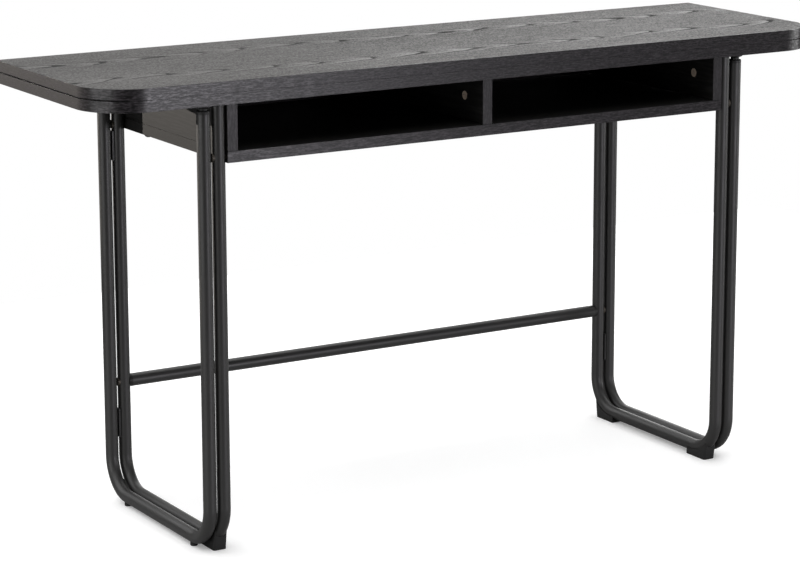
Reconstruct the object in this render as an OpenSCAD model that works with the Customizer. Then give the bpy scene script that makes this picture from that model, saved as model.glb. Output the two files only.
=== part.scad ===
// Extending dining table: a fold-over top on a shallow open box, two fixed tube frames,
// and two gate frames that swing out behind to carry the unfolded leaf.
// +X runs to the right along the table, +Y to the back, +Z up. The origin is on the floor
// under the middle of the folded table. Millimetres.

/* [Table top] */
// Height of the folded table, floor to upper face
table_h = 768; // [720:1:800]
// Length of each leaf
leaf_l = 1400; // [1300:10:1800]
// Depth of each leaf, front edge to hinge edge
leaf_w = 400; // [380:5:460]
// Thickness of each leaf
leaf_t = 18; // [16:0.5:22]
// Space between the folded leaves
leaf_gap = 1; // [1:0.25:5]
// Radius of the two front corners of each leaf
corner_r = 85; // [30:5:150]
// Thickness of the edging round each leaf
edging_t = 2; // [1.6:0.1:2.6]
// Rounding of the edging along the outer faces
arris_r = 1; // [0.5:0.1:1.4]

/* [Leaf hinges] */
// How far the outer two leaf hinges stand from the middle one
leaf_hinge_pitch = 560; // [400:10:620]
// Length of each hinge plate along the hinge edge
leaf_plate_l = 56; // [50:1:70]
// Depth of each hinge plate, set flush in the leaf
leaf_plate_w = 24; // [22:1:32]
// Thickness of the hinge plates
leaf_plate_t = 2.2; // [1.8:0.1:2.6]
// Width of the link that joins the two pins of a leaf hinge
link_w = 8; // [6:0.5:10]
// Radius of the two pins of each leaf hinge
link_pin_r = 1.25; // [1:0.05:1.5]
// Space between the edges of the unfolded leaves
open_gap = 0.8; // [0.5:0.1:1.2]

/* [Box] */
// Length of the box over its end boards
box_l = 960; // [900:10:1040]
// Thickness of the box boards
board_t = 18; // [16:1:22]
// Clear height of the two compartments
clear_h = 75; // [60:1:110]
// How far the front of the box stands behind the front edge of the leaf
box_setback = 4.5; // [3:0.5:20]
// Distance of the cam locks from the front and back of the box
cam_inset = 56.5; // [45:0.5:80]
// How far the cam locks lie below the lower leaf
cam_drop = 33; // [28:0.5:36]
// Radius of a cam lock
cam_r = 7.5; // [6:0.5:8]
// Distance of the dome-headed screws from the middle of the box
screw_y = 108; // [60:1:115]
// Radius of the heads of the dome-headed screws
dome_r = 7; // [4:0.25:8]
// Height of the heads of the dome-headed screws
dome_h = 5.75; // [3:0.25:7]

/* [Frames] */
// Outer diameter of the steel tube
tube_d = 22; // [20:0.5:24]
// Wall of the steel tube
tube_wall = 1.5; // [1.2:0.1:2]
// Radius of the bends, to the middle of the tube
bend_r = 60; // [50:1:80]
// How far the middle of each leg lies inside the leaf's long edge
leg_inset = 16; // [16:0.5:30]
// Height of the middle of the bottom run above the floor
run_z = 16; // [14:0.5:20]
// Space between a fixed frame and its gate frame
gate_gap = 3; // [3:0.25:5]
// Height of the middle of the stretcher
stretcher_z = 202; // [170:1:400]

/* [Feet and pads] */
// Length of a corner foot along the floor
foot_l = 52; // [45:1:65]
// Width of a corner foot
foot_w = 23; // [22.5:0.5:25]
// How much further out the outer face of a corner foot stands at its top
foot_lean = 7; // [0:0.5:9]
// Height that a corner foot reaches up the side of the tube
foot_wrap = 7; // [4:0.5:8]
// Radius of a gate glide
glide_r = 6.25; // [5:0.25:8]
// Radius of a support pad
pad_r = 13; // [11:0.25:13.25]
// Thickness of the disc of a support pad
pad_disc_h = 3.6; // [3:0.1:5]
// Height of the neck of a support pad
pad_neck_h = 4; // [3:0.25:6]
// Radius of the neck of a support pad
pad_neck_r = 7.35; // [6:0.05:9]
// Height of the cap on top of a gate leg
cap_h = 6; // [4:0.5:8]

/* [Gate hinges] */
// Height of the middle of the lower gate hinges
low_hinge_z = 131; // [120:1:160]
// Height of the middle of the upper gate hinges
high_hinge_z = 611; // [400:1:611]
// Length of a gate hinge
gate_hinge_h = 50; // [40:1:60]
// Thickness of the plates of a gate hinge
gate_plate_t = 1.2; // [1:0.05:1.3]
// Outer radius of the knuckles
knuckle_r = 3.1; // [2.6:0.1:3.3]
// Radius of the hinge pin
gate_pin_r = 1.5; // [1.2:0.1:1.7]

/* [Fasteners] */
// Radius of the frame bolts
bolt_r = 3; // [2.5:0.25:3.5]
// Radius of the heads of the frame bolts
bolt_head_r = 7; // [6:0.25:7.5]
// Height of a bolt head above the side of the tube
bolt_head_t = 2; // [1.5:0.1:2.2]
// Radius of the heads of the hinge screws
screw_head_r = 3; // [2.6:0.1:3.4]
// Radius of the shanks of the hinge screws
screw_r = 1.6; // [1.4:0.1:1.9]
// Length of the screws in the tubes
screw_l = 9; // [7:0.5:11]
// Radius of the bumpers between the leaves
bumper_r = 4; // [3:0.5:6]

/* [Clearances] */
// Radial clearance of pins, bolts, screws and inserts in their holes
fit = 0.05; // [0.03:0.01:0.08]
// Gap between pieces that rest against each other
seat = 0.2; // [0.1:0.05:0.3]
// Gap between pieces that move past each other
play = 0.4; // [0.35:0.05:0.5]

/* [Hidden] */

$fn = 64;
// Small overlap past a face for cuts that open it
eps = 1;

// Colours as the finished pieces show them
top_colour = [0.36, 0.35, 0.34];
edge_colour = [0.24, 0.25, 0.27];
board_colour = [0.22, 0.21, 0.20];
steel_colour = [0.08, 0.08, 0.09];
plastic_colour = [0.05, 0.05, 0.05];
zinc_colour = [0.70, 0.69, 0.66];
dowel_colour = [0.78, 0.64, 0.44];

// Levels of the leaves and the box
mid_z = table_h - leaf_t - leaf_gap / 2;
lower_top = mid_z - leaf_gap / 2;
underside = lower_top - leaf_t;
box_top = underside;
box_floor = box_top - clear_h;
box_base = box_floor - board_t;
box_front = -leaf_w / 2 + box_setback;
box_rear = -box_front;
end_x = box_l / 2 - board_t / 2;
panel_z = box_base + board_t / 2;

// Places of the tubes
tube_r = tube_d / 2;
bore_r = tube_r - tube_wall;
leg_y = leaf_w / 2 - leg_inset;
bend_y = leg_y - bend_r;
bend_z = run_z + bend_r;
frame_x = box_l / 2 + seat + tube_r;
gate_x = frame_x + tube_d + gate_gap;
plug_lip = 2;
frame_top = underside - seat - plug_lip;
pad_clear = play;
gate_top = underside - pad_clear - pad_disc_h - pad_neck_h - cap_h;

// Axis of the gates: midway between the tubes both ways, so that an opened gate lies in
// line with its fixed frame
pivot_x = frame_x + tube_r + gate_gap / 2;
pivot_y = leg_y + tube_r + gate_gap / 2;
hinge_z = [low_hinge_z, high_hinge_z];
gate_screw_z = gate_hinge_h * 0.3;
gate_head_r = screw_r + gate_plate_t;
plate_past_leg = 8;
pin_head_t = 0.9;
pin_head_gap = 0.1;

// Two pins of a leaf hinge: each lies just deeper than the edging's rounded hinge edge, and
// the leaves roll on that rounding as they turn
edge_flat = 0.1;
pin_cover = 0.6;
eye_cover = 0.2;
hinge_round = edging_t - edge_flat;
pin_drop = hinge_round + pin_cover;
pin_inset = pin_drop + (leaf_gap - open_gap) / 2;
pin_y = leaf_w / 2 - pin_inset;
eye_r = pin_drop - eye_cover;
plate_set_in = 1;
boss_wall = 1;
boss_l = leaf_plate_l * 0.64;
boss_h = pin_drop + eye_r + play + boss_wall / 2;
boss_front = pin_y - eye_r - boss_wall;
leaf_screw_in = 7;
leaf_screw_y = leaf_w / 2 - plate_set_in - leaf_plate_w + leaf_screw_in;
wood_skin = 5;
leaf_screw_l = leaf_t - wood_skin;
leaf_screw_step = leaf_plate_l * 0.36;
leaf_hinge_x = [-leaf_hinge_pitch, 0, leaf_hinge_pitch];

// Fittings of the box
cam_z = box_top - cam_drop;
cam_depth = board_t * 0.7;
cam_y = box_rear - cam_inset;
cam_bolt_bite = leaf_t - wood_skin;
cam_neck_r = 2.6;
cam_head_r = 3.4;
cam_head_h = 2.6;
cam_collar_h = 7;
cam_bore_r = 4;
cam_slot_w = 1.6;
cam_slot_h = 1.5;
dowel_r = 4;
dowel_half = 10;
back_dowel_x = box_l / 4;
box_screw_bite = 27;
box_screw_l = board_t + box_screw_bite;
box_screw_r = 2.5;
insert_r = 5;
insert_l = 20;
bolt_l = tube_d + insert_l;
bumper_h = leaf_gap - seat;
bumper_inset = 34;

// Corner feet
foot_past_bend = 8;
foot_in = bend_y - foot_past_bend;
foot_out = foot_in + foot_l;
foot_top_z = bend_z - bend_r * 0.42;
foot_arc_r = bend_r + tube_r - foot_wrap;
foot_screw_y = foot_in + 7;
foot_screw_sink = 0.8;
foot_corner_r = 3;

// Small parts of the tubes
glide_edge = 0.8;
plug_taper = 0.8;
plug_neck = 3.5;
plug_l = 14;
stud_r = 4;
stud_l = 12;
peg_r = 2.5;

// General helpers

module x_rod(r, x0, x1, y, z) {
    translate([x0, y, z]) rotate([0, 90, 0]) cylinder(r = r, h = x1 - x0);
}

// Draws its children on the right for side 1, and mirrored on the left for side -1
module on_side(side) {
    if (side > 0) children();
    else mirror([1, 0, 0]) children();
}

// Draws its children for the lower leaf, mirrored about the middle of the gap for the upper
module as_upper() {
    translate([0, 0, 2 * mid_z]) mirror([0, 0, 1]) children();
}

// Countersunk screw whose flat head looks along +Z at z = 0
module flat_screw(head_r, shank_r, length) {
    head_h = head_r - shank_r;
    difference() {
        union() {
            translate([0, 0, -head_h]) cylinder(r1 = shank_r, r2 = head_r, h = head_h);
            translate([0, 0, -length]) cylinder(r = shank_r, h = length - head_h);
        }
        for (turn = [0, 90]) rotate([0, 0, turn])
            cube([head_r * 1.2, head_r * 0.22, head_h * 0.9], center = true);
    }
}

// Space for the same screw, with its clearance
module flat_screw_hole(head_r, shank_r, length) {
    head_h = head_r - shank_r;
    translate([0, 0, -head_h]) cylinder(r1 = shank_r + fit, r2 = head_r + fit, h = head_h);
    translate([0, 0, -length - play]) cylinder(r = shank_r + fit, h = length + play);
    cylinder(r = head_r + fit, h = eps);
}

// Leaves

module leaf_plan(l, w, r) {
    translate([-l / 2, r - w / 2]) square([l, w - r]);
    translate([r - l / 2, -w / 2]) square([l - 2 * r, r]);
    for (side = [-1, 1]) translate([side * (l / 2 - r), r - w / 2]) circle(r = r, $fn = 128);
}

// Section of the edging: x runs outwards from the board, y up the thickness of the leaf
module edging_section(low_r, high_r) {
    difference() {
        square([edging_t, leaf_t]);
        difference() {
            translate([edging_t - low_r, -eps]) square([low_r + eps, low_r + eps]);
            translate([edging_t - low_r, low_r]) circle(r = low_r);
        }
        difference() {
            translate([edging_t - high_r, leaf_t - high_r]) square([high_r + eps, high_r + eps]);
            translate([edging_t - high_r, leaf_t - high_r]) circle(r = high_r);
        }
    }
}

// One straight strip of edging that faces the direction given by turn
module edging_strip(turn, from, length, high_r) {
    translate([from[0], from[1], underside]) rotate([0, 0, turn]) rotate([90, 0, 0])
        linear_extrude(length) edging_section(arris_r, high_r);
}

module end_strip() {
    edging_strip(0, [leaf_l / 2 - edging_t, leaf_w / 2], leaf_w - corner_r, arris_r);
}

module back_strip() {
    edging_strip(90, [-leaf_l / 2, leaf_w / 2 - edging_t], leaf_l, hinge_round);
}

// Plan of the back strip, mitred at both ends
module back_mitre() {
    translate([0, 0, underside - eps]) linear_extrude(leaf_t + 2 * eps) polygon([
        [-leaf_l / 2, leaf_w / 2], [leaf_l / 2, leaf_w / 2],
        [leaf_l / 2 - edging_t, leaf_w / 2 - edging_t],
        [-leaf_l / 2 + edging_t, leaf_w / 2 - edging_t]]);
}

// What the rolled hinge edge leaves out over the whole length of the leaf, ends included
module hinge_edge_waste() {
    translate([-leaf_l / 2 - eps, leaf_w / 2 - hinge_round, lower_top - hinge_round])
        rotate([90, 0, 90]) linear_extrude(leaf_l + 2 * eps) difference() {
            square(hinge_round + eps);
            circle(r = hinge_round);
        }
}

module edging_ring() {
    for (side = [-1, 1]) {
        on_side(side) difference() {
            end_strip();
            back_mitre();
            hinge_edge_waste();
        }
        translate([side * (leaf_l / 2 - corner_r), corner_r - leaf_w / 2, underside])
            rotate([0, 0, side > 0 ? -90 : 180])
            rotate_extrude(angle = 90, $fn = 128)
            translate([corner_r - edging_t, 0]) edging_section(arris_r, arris_r);
    }
    intersection() {
        back_strip();
        back_mitre();
    }
    edging_strip(-90, [leaf_l / 2 - corner_r, edging_t - leaf_w / 2], leaf_l - 2 * corner_r, arris_r);
}

// Space in a leaf for its half of each hinge
module hinge_pockets() {
    for (x = leaf_hinge_x) translate([x, 0, lower_top]) {
        hinge_body(seat / 2, eps);
        translate([-link_w / 2 - play, pin_y - eye_r - play, -boss_h - seat])
            cube([link_w + 2 * play, pin_inset + eye_r + play + eps, boss_h + seat + eps]);
        for (step = [-1, 0, 1]) translate([step * leaf_screw_step, leaf_screw_y, 0])
            flat_screw_hole(screw_head_r, screw_r, leaf_screw_l);
    }
}

// Plate and boss of one hinge half, grown sideways by grow and upwards by up
module hinge_body(grow, up) {
    rear = leaf_w / 2 - plate_set_in + grow;
    translate([-leaf_plate_l / 2 - grow, rear - leaf_plate_w - 2 * grow, -leaf_plate_t - grow])
        cube([leaf_plate_l + 2 * grow, leaf_plate_w + 2 * grow, leaf_plate_t + grow + up]);
    translate([-boss_l / 2 - grow, boss_front - grow, -boss_h - grow])
        cube([boss_l + 2 * grow, rear - boss_front + grow, boss_h + grow + up]);
}

module leaf_blank() {
    translate([0, 0, underside]) linear_extrude(leaf_t)
        leaf_plan(leaf_l - 2 * edging_t, leaf_w - 2 * edging_t, corner_r - edging_t);
}

module lower_leaf() {
    color(top_colour) difference() {
        leaf_blank();
        hinge_pockets();
        for (x = [-end_x, 0, end_x]) for (y = [-cam_y, cam_y])
            translate([x, y, underside - eps])
            cylinder(r = cam_neck_r + fit, h = cam_bolt_bite + play + eps);
    }
}

module lower_edging() {
    color(edge_colour) difference() {
        edging_ring();
        hinge_pockets();
    }
}

module upper_leaf() {
    color(top_colour) as_upper() difference() {
        leaf_blank();
        hinge_pockets();
    }
}

module upper_edging() {
    color(edge_colour) as_upper() difference() {
        edging_ring();
        hinge_pockets();
    }
}

module leaf_bumpers() {
    color(plastic_colour)
        for (x = [-1, 0, 1]) for (y = [-1, 1]) if (x != 0 || y < 0)
            translate([x * (leaf_l / 2 - corner_r), y * (leaf_w / 2 - bumper_inset), lower_top])
            cylinder(r1 = bumper_r, r2 = bumper_r * 0.8, h = bumper_h);
}

// Leaf hinges

// One half of a leaf hinge, in the place that it has in the lower leaf
module leaf_hinge(x) {
    translate([x, 0, lower_top]) difference() {
        hinge_body(0, 0);
        x_rod(link_pin_r + fit, -boss_l / 2 - eps, boss_l / 2 + eps, pin_y, -pin_drop);
        translate([-link_w / 2 - play, pin_y - eye_r - play, -boss_h - eps])
            cube([link_w + 2 * play, leaf_w, boss_h + 2 * eps]);
        for (step = [-1, 0, 1]) translate([step * leaf_screw_step, leaf_screw_y, 0])
            flat_screw_hole(screw_head_r, screw_r, leaf_screw_l);
    }
}

module hinge_pins() {
    for (x = leaf_hinge_x)
        x_rod(link_pin_r, x - boss_l / 2, x + boss_l / 2, pin_y, lower_top - pin_drop);
}

module hinge_screws() {
    for (x = leaf_hinge_x) for (step = [-1, 0, 1])
        translate([x + step * leaf_screw_step, leaf_screw_y, lower_top])
        flat_screw(screw_head_r, screw_r, leaf_screw_l);
}

// Link between the pin in the lower leaf and the pin in the upper leaf
module link(x) {
    low = lower_top - pin_drop;
    reach = leaf_gap + 2 * pin_drop;
    color(zinc_colour) difference() {
        union() {
            for (z = [low, low + reach]) x_rod(eye_r, x - link_w / 2, x + link_w / 2, pin_y, z);
            translate([x - link_w / 2, pin_y - eye_r, low]) cube([link_w, 2 * eye_r, reach]);
        }
        for (z = [low, low + reach])
            x_rod(link_pin_r + fit, x - link_w / 2 - eps, x + link_w / 2 + eps, pin_y, z);
    }
}

module leaf_hinge_half(x) {
    color(zinc_colour) leaf_hinge(x);
}

module flap_hinge_half(x) {
    color(zinc_colour) as_upper() leaf_hinge(x);
}

module leaf_hinge_pins() {
    color(zinc_colour) hinge_pins();
}

module flap_hinge_pins() {
    color(zinc_colour) as_upper() hinge_pins();
}

module leaf_hinge_screws() {
    color(zinc_colour) hinge_screws();
}

module flap_hinge_screws() {
    color(zinc_colour) as_upper() hinge_screws();
}

// Box

// Upright board of the box, with its bores for cam locks, dowels and screws. The cam locks
// lie in the face that looks along +X for face 1 and along -X for face -1.
module box_wall(x, face, rear) {
    color(board_colour) difference() {
        translate([x - board_t / 2, box_front, box_floor])
            cube([board_t, rear - box_front, clear_h]);
        for (y = [-cam_y, cam_y]) {
            translate([x + face * (board_t / 2 - cam_depth), y, cam_z]) rotate([0, face * 90, 0])
                cylinder(r = cam_r + fit, h = cam_depth + eps);
            translate([x, y, cam_z]) cylinder(r = cam_bore_r, h = cam_drop + eps);
            translate([x, y, box_floor - eps])
                cylinder(r = dowel_r + fit, h = dowel_half + play + eps);
        }
        for (y = [-screw_y, screw_y]) translate([x, y, box_floor - eps])
            cylinder(r = box_screw_r + fit, h = box_screw_l - board_t + play + eps);
    }
}

module box_left_end() {
    box_wall(-end_x, 1, box_rear);
}

module box_right_end() {
    box_wall(end_x, -1, box_rear);
}

module box_divider() {
    box_wall(0, -1, box_rear - board_t);
}

// Places of the dowels between the bottom board and what stands on it
dowel_places = concat(
    [for (x = [-end_x, 0, end_x]) for (y = [-cam_y, cam_y]) [x, y]],
    [for (x = [-1.5, -0.5, 0.5, 1.5]) [x * back_dowel_x, box_rear - board_t / 2]]);

module dowel_holes() {
    for (place = dowel_places) translate([place[0], place[1], box_floor - dowel_half - play])
        cylinder(r = dowel_r + fit, h = 2 * (dowel_half + play));
}

module box_back() {
    color(board_colour) difference() {
        translate([board_t - box_l / 2, box_rear - board_t, box_floor])
            cube([box_l - 2 * board_t, board_t, clear_h]);
        dowel_holes();
    }
}

module box_bottom() {
    color(board_colour) difference() {
        translate([-box_l / 2, box_front, box_base]) cube([box_l, box_rear - box_front, board_t]);
        dowel_holes();
        for (x = [-end_x, 0, end_x]) for (y = [-screw_y, screw_y])
            translate([x, y, box_base - eps])
            cylinder(r = box_screw_r + fit, h = board_t + 2 * eps);
        for (side = [-1, 1]) on_side(side) for (y = [-leg_y, leg_y])
            x_rod(insert_r + fit, box_l / 2 - insert_l - play, box_l / 2 + eps, y, panel_z);
    }
}

module box_dowels() {
    color(dowel_colour) for (place = dowel_places)
        translate([place[0], place[1], box_floor - dowel_half])
        cylinder(r = dowel_r, h = 2 * dowel_half);
}

// Screws up through the bottom board, with domed heads
module box_screws() {
    ball_r = (dome_r * dome_r + dome_h * dome_h) / (2 * dome_h);
    color(steel_colour) for (x = [-end_x, 0, end_x]) for (y = [-screw_y, screw_y])
        translate([x, y, box_base]) {
            cylinder(r = box_screw_r, h = box_screw_l);
            difference() {
                intersection() {
                    translate([0, 0, ball_r - dome_h]) sphere(r = ball_r);
                    translate([0, 0, -dome_h]) cylinder(r = dome_r, h = dome_h);
                }
                translate([0, 0, -dome_h - eps])
                    cylinder(r = dome_r * 0.4, h = eps + dome_h * 0.4, $fn = 6);
            }
        }
}

// Eccentric lock that grips the head of its bolt
module cam_lock(x, y, face) {
    translate([x + face * board_t / 2, y, cam_z]) rotate([0, face * 90, 0]) difference() {
        translate([0, 0, -cam_depth]) cylinder(r = cam_r, h = cam_depth);
        for (turn = [0, 90]) rotate([0, 0, turn + 20])
            cube([cam_r * 1.3, cam_slot_w, 2 * cam_slot_h], center = true);
        translate([0, 0, -board_t / 2]) rotate([0, -face * 90, 0]) {
            cylinder(r = cam_neck_r + play, h = cam_r + eps);
            translate([0, 0, -play]) cylinder(r = cam_head_r + play, h = cam_head_h + 2 * play);
        }
    }
}

module cam_locks() {
    color(zinc_colour) for (y = [-cam_y, cam_y]) {
        cam_lock(-end_x, y, 1);
        cam_lock(0, y, -1);
        cam_lock(end_x, y, -1);
    }
}

// Bolts screwed up into the lower leaf, whose heads hang in the cam locks
module cam_bolts() {
    color(zinc_colour) for (x = [-end_x, 0, end_x]) for (y = [-cam_y, cam_y])
        translate([x, y, cam_z]) {
            cylinder(r = cam_head_r, h = cam_head_h);
            cylinder(r = cam_neck_r, h = cam_drop + cam_bolt_bite);
            translate([0, 0, cam_drop - cam_collar_h])
                cylinder(r = cam_bore_r - fit, h = cam_collar_h);
        }
}

// Threaded sleeves in the ends of the bottom board
module insert_nuts() {
    color(zinc_colour) for (side = [-1, 1]) on_side(side) for (y = [-leg_y, leg_y]) difference() {
        x_rod(insert_r, box_l / 2 - insert_l, box_l / 2, y, panel_z);
        x_rod(bolt_r + fit, box_l / 2 - insert_l - eps, box_l / 2 + eps, y, panel_z);
    }
}

// Frames

// Solid path of a U frame in the plane x = 0, with a round section of radius r
module u_path(r, top) {
    for (side = [-1, 1]) {
        translate([0, side * leg_y, bend_z]) cylinder(r = r, h = top - bend_z);
        translate([0, side * bend_y, bend_z]) rotate([90, 0, 90])
            rotate([0, 0, side > 0 ? -90 : 180])
            rotate_extrude(angle = 90, $fn = 96) translate([bend_r, 0]) circle(r = r);
    }
    translate([0, bend_y, run_z]) rotate([90, 0, 0]) cylinder(r = r, h = 2 * bend_y);
}

module u_tube(top) {
    difference() {
        u_path(tube_r, top);
        u_path(bore_r, top + eps);
    }
}

// Screw places of the two gate hinges, with their heights
hinge_screw_z = [for (z = hinge_z) for (s = [-1, 1]) z + s * gate_screw_z];

module fixed_frame(side) {
    color(steel_colour) on_side(side) difference() {
        translate([frame_x, 0, 0]) u_tube(frame_top);
        for (y = [-leg_y, leg_y])
            x_rod(bolt_r + fit, frame_x - tube_d, frame_x + tube_d, y, panel_z);
        x_rod(bolt_r + fit, frame_x - tube_d, frame_x + tube_d, leg_y, stretcher_z);
        for (z = hinge_screw_z) x_rod(screw_r + fit, frame_x, frame_x + tube_d, leg_y, z);
        for (y = [-foot_screw_y, foot_screw_y]) translate([frame_x, y, 0])
            cylinder(r = screw_r + fit, h = run_z);
    }
}

// Plugs that close the legs of the fixed frames and carry the lower leaf
module frame_plugs() {
    color(plastic_colour) for (side = [-1, 1]) for (y = [-leg_y, leg_y])
        translate([side * frame_x, y, frame_top]) {
            cylinder(r = tube_r, h = plug_lip);
            translate([0, 0, -plug_l]) cylinder(r = bore_r - fit, h = plug_l);
        }
}

// Bolt that runs along X through a leg, with its head saddled on the outer side of the tube
module frame_bolt(y, z) {
    face = frame_x + tube_r + bolt_head_t;
    difference() {
        union() {
            difference() {
                x_rod(bolt_head_r, frame_x + tube_r * 0.5, face, y, z);
                translate([frame_x, y, z - 2 * bolt_head_r])
                    cylinder(r = tube_r + fit, h = 4 * bolt_head_r);
            }
            x_rod(bolt_r, face - bolt_head_t - bolt_l, face - 0.1, y, z);
        }
        translate([face - bolt_head_t * 0.75, y, z]) rotate([0, 90, 0])
            cylinder(r = bolt_r * 0.75, h = bolt_head_t, $fn = 6);
    }
}

module box_bolts() {
    color(steel_colour) for (side = [-1, 1]) on_side(side) for (y = [-leg_y, leg_y])
        frame_bolt(y, panel_z);
}

module stretcher_bolts() {
    color(steel_colour) for (side = [-1, 1]) on_side(side) frame_bolt(leg_y, stretcher_z);
}

stretcher_half = frame_x - tube_r - plug_lip;

module stretcher() {
    color(steel_colour) difference() {
        x_rod(tube_r, -stretcher_half, stretcher_half, leg_y, stretcher_z);
        x_rod(bore_r, -stretcher_half - eps, stretcher_half + eps, leg_y, stretcher_z);
    }
}

// Tapered end plugs of the stretcher, hollowed to sit round the legs
module stretcher_plugs() {
    lip = plug_lip + plug_neck;
    color(plastic_colour) for (side = [-1, 1]) on_side(side) difference() {
        union() {
            translate([stretcher_half, leg_y, stretcher_z]) rotate([0, 90, 0])
                cylinder(r1 = tube_r, r2 = tube_r - plug_taper, h = lip);
            x_rod(bore_r - fit, stretcher_half - insert_l, stretcher_half, leg_y, stretcher_z);
        }
        translate([frame_x, leg_y, stretcher_z - tube_d])
            cylinder(r = tube_r + fit, h = 2 * tube_d);
        x_rod(bolt_r + fit, stretcher_half - insert_l - eps, frame_x, leg_y, stretcher_z);
    }
}

// Corner foot under a bend of a fixed frame, on the right and at the back
module foot_shape() {
    difference() {
        intersection() {
            translate([-foot_w / 2, 0, 0]) rotate([90, 0, 90]) linear_extrude(foot_w) polygon([
                [foot_in, 0], [foot_out, 0],
                [foot_out + foot_lean, foot_top_z], [foot_in, foot_top_z]]);
            linear_extrude(foot_top_z) foot_plan();
        }
        translate([-foot_w, bend_y, bend_z]) rotate([0, 90, 0])
            cylinder(r = foot_arc_r, h = 2 * foot_w, $fn = 128);
        u_path(tube_r + fit, bend_z + foot_l);
        translate([0, foot_screw_y, foot_screw_sink]) rotate([180, 0, 0])
            flat_screw_hole(screw_head_r, screw_r, run_z);
    }
}

module foot_plan() {
    long = foot_l + foot_lean;
    half = foot_w / 2 - foot_corner_r;
    translate([-foot_w / 2, foot_in]) square([foot_w, long - foot_corner_r]);
    translate([-half, foot_in]) square([2 * half, long]);
    for (s = [-1, 1]) translate([s * half, foot_in + long - foot_corner_r])
        circle(r = foot_corner_r);
}

module foot(side, end) {
    color(plastic_colour) translate([side * frame_x, 0, 0])
        mirror([0, end < 0 ? 1 : 0, 0]) foot_shape();
}

module foot_screws() {
    color(steel_colour) for (side = [-1, 1]) for (y = [-foot_screw_y, foot_screw_y])
        translate([side * frame_x, y, foot_screw_sink]) rotate([180, 0, 0])
        flat_screw(screw_head_r, screw_r, screw_l);
}

// Gate hinges

// Plate with knuckles between the heights low and high of a gate hinge, measured from its
// middle; it lies on the side of the pivot that side names
module gate_plate(side, spans) {
    inner = gate_gap / 2 - gate_plate_t;
    wide = tube_r + gate_gap / 2 + plate_past_leg;
    half = gate_hinge_h / 2;
    mirror([side < 0 ? 1 : 0, 0, 0]) difference() {
        union() {
            difference() {
                translate([inner, -wide, -half]) cube([gate_plate_t, wide, gate_hinge_h]);
                translate([0, -knuckle_r - play, -half - eps])
                    cube([gate_gap, knuckle_r + play + eps, gate_hinge_h + 2 * eps]);
            }
            for (span = spans) {
                translate([0, 0, span[0]]) cylinder(r = knuckle_r, h = span[1] - span[0]);
                translate([inner, -knuckle_r - play - 0.1, span[0]])
                    cube([gate_plate_t, knuckle_r + play + 0.1, span[1] - span[0]]);
            }
        }
        translate([0, 0, -half - eps]) cylinder(r = gate_pin_r + fit, h = gate_hinge_h + 2 * eps);
        for (s = [-1, 1]) translate([inner, leg_y - pivot_y, s * gate_screw_z])
            rotate([0, -90, 0]) flat_screw_hole(gate_head_r, screw_r, screw_l);
    }
}

third = gate_hinge_h / 3;
outer_spans = [[-1.5 * third, -0.5 * third], [0.5 * third, 1.5 * third]];
inner_spans = [[play - 0.5 * third, 0.5 * third - play]];

module fixed_plates(side) {
    color(steel_colour) on_side(side) for (z = hinge_z)
        translate([pivot_x, pivot_y, z]) gate_plate(-1, outer_spans);
}

module moving_plates(side) {
    color(steel_colour) on_side(side) for (z = hinge_z)
        translate([pivot_x, pivot_y, z]) gate_plate(1, inner_spans);
}

module gate_hinge_pins() {
    color(zinc_colour) for (side = [-1, 1]) for (z = hinge_z)
        translate([side * pivot_x, pivot_y, z - gate_hinge_h / 2]) {
            cylinder(r = gate_pin_r, h = gate_hinge_h);
            for (end = [-pin_head_t - pin_head_gap, gate_hinge_h + pin_head_gap])
                translate([0, 0, end]) cylinder(r = knuckle_r * 0.75, h = pin_head_t);
            translate([0, 0, -2 * pin_head_gap])
                cylinder(r = gate_pin_r, h = gate_hinge_h + 4 * pin_head_gap);
        }
}

module plate_screws(side, fixed) {
    inner = gate_gap / 2 - gate_plate_t;
    dir = fixed ? -1 : 1;
    color(steel_colour) on_side(side) for (z = hinge_screw_z)
        translate([pivot_x + dir * inner, leg_y, z]) rotate([0, -dir * 90, 0])
        flat_screw(gate_head_r, screw_r, screw_l);
}

module fixed_hinge_screws() {
    for (side = [-1, 1]) plate_screws(side, true);
}

// Gates

module gate(side) {
    color(steel_colour) on_side(side) difference() {
        translate([gate_x, 0, 0]) u_tube(gate_top);
        for (z = hinge_screw_z) x_rod(screw_r + fit, gate_x - tube_d, gate_x, leg_y, z);
        for (y = [-bend_y, bend_y]) translate([gate_x, y, 0]) cylinder(r = peg_r, h = run_z);
    }
}

// Round glides under the ends of the bottom run, with pegs that hold them in the tube
module gate_glides(side) {
    color(plastic_colour) on_side(side) translate([gate_x, 0, 0]) for (y = [-bend_y, bend_y]) {
        difference() {
            translate([0, y, 0]) {
                cylinder(r1 = glide_r - glide_edge, r2 = glide_r, h = glide_edge);
                translate([0, 0, glide_edge])
                    cylinder(r = glide_r, h = run_z - tube_r * 0.6 - glide_edge);
            }
            u_path(tube_r + fit, bend_z + eps);
        }
        translate([0, y, 1]) cylinder(r = peg_r - fit, h = run_z - bore_r + 1);
    }
}

// Caps in the tops of the gate legs
module gate_caps(side) {
    color(plastic_colour) for (y = [-leg_y, leg_y]) translate([side * gate_x, y, gate_top])
        difference() {
            union() {
                cylinder(r = tube_r, h = cap_h - 1.5);
                translate([0, 0, cap_h - 1.5]) cylinder(r1 = tube_r, r2 = tube_r - 1.5, h = 1.5);
                translate([0, 0, -plug_l]) cylinder(r = bore_r - fit, h = plug_l);
            }
            translate([0, 0, -plug_l - eps])
                cylinder(r = stud_r + fit, h = plug_l + cap_h + 2 * eps);
        }
}

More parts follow.
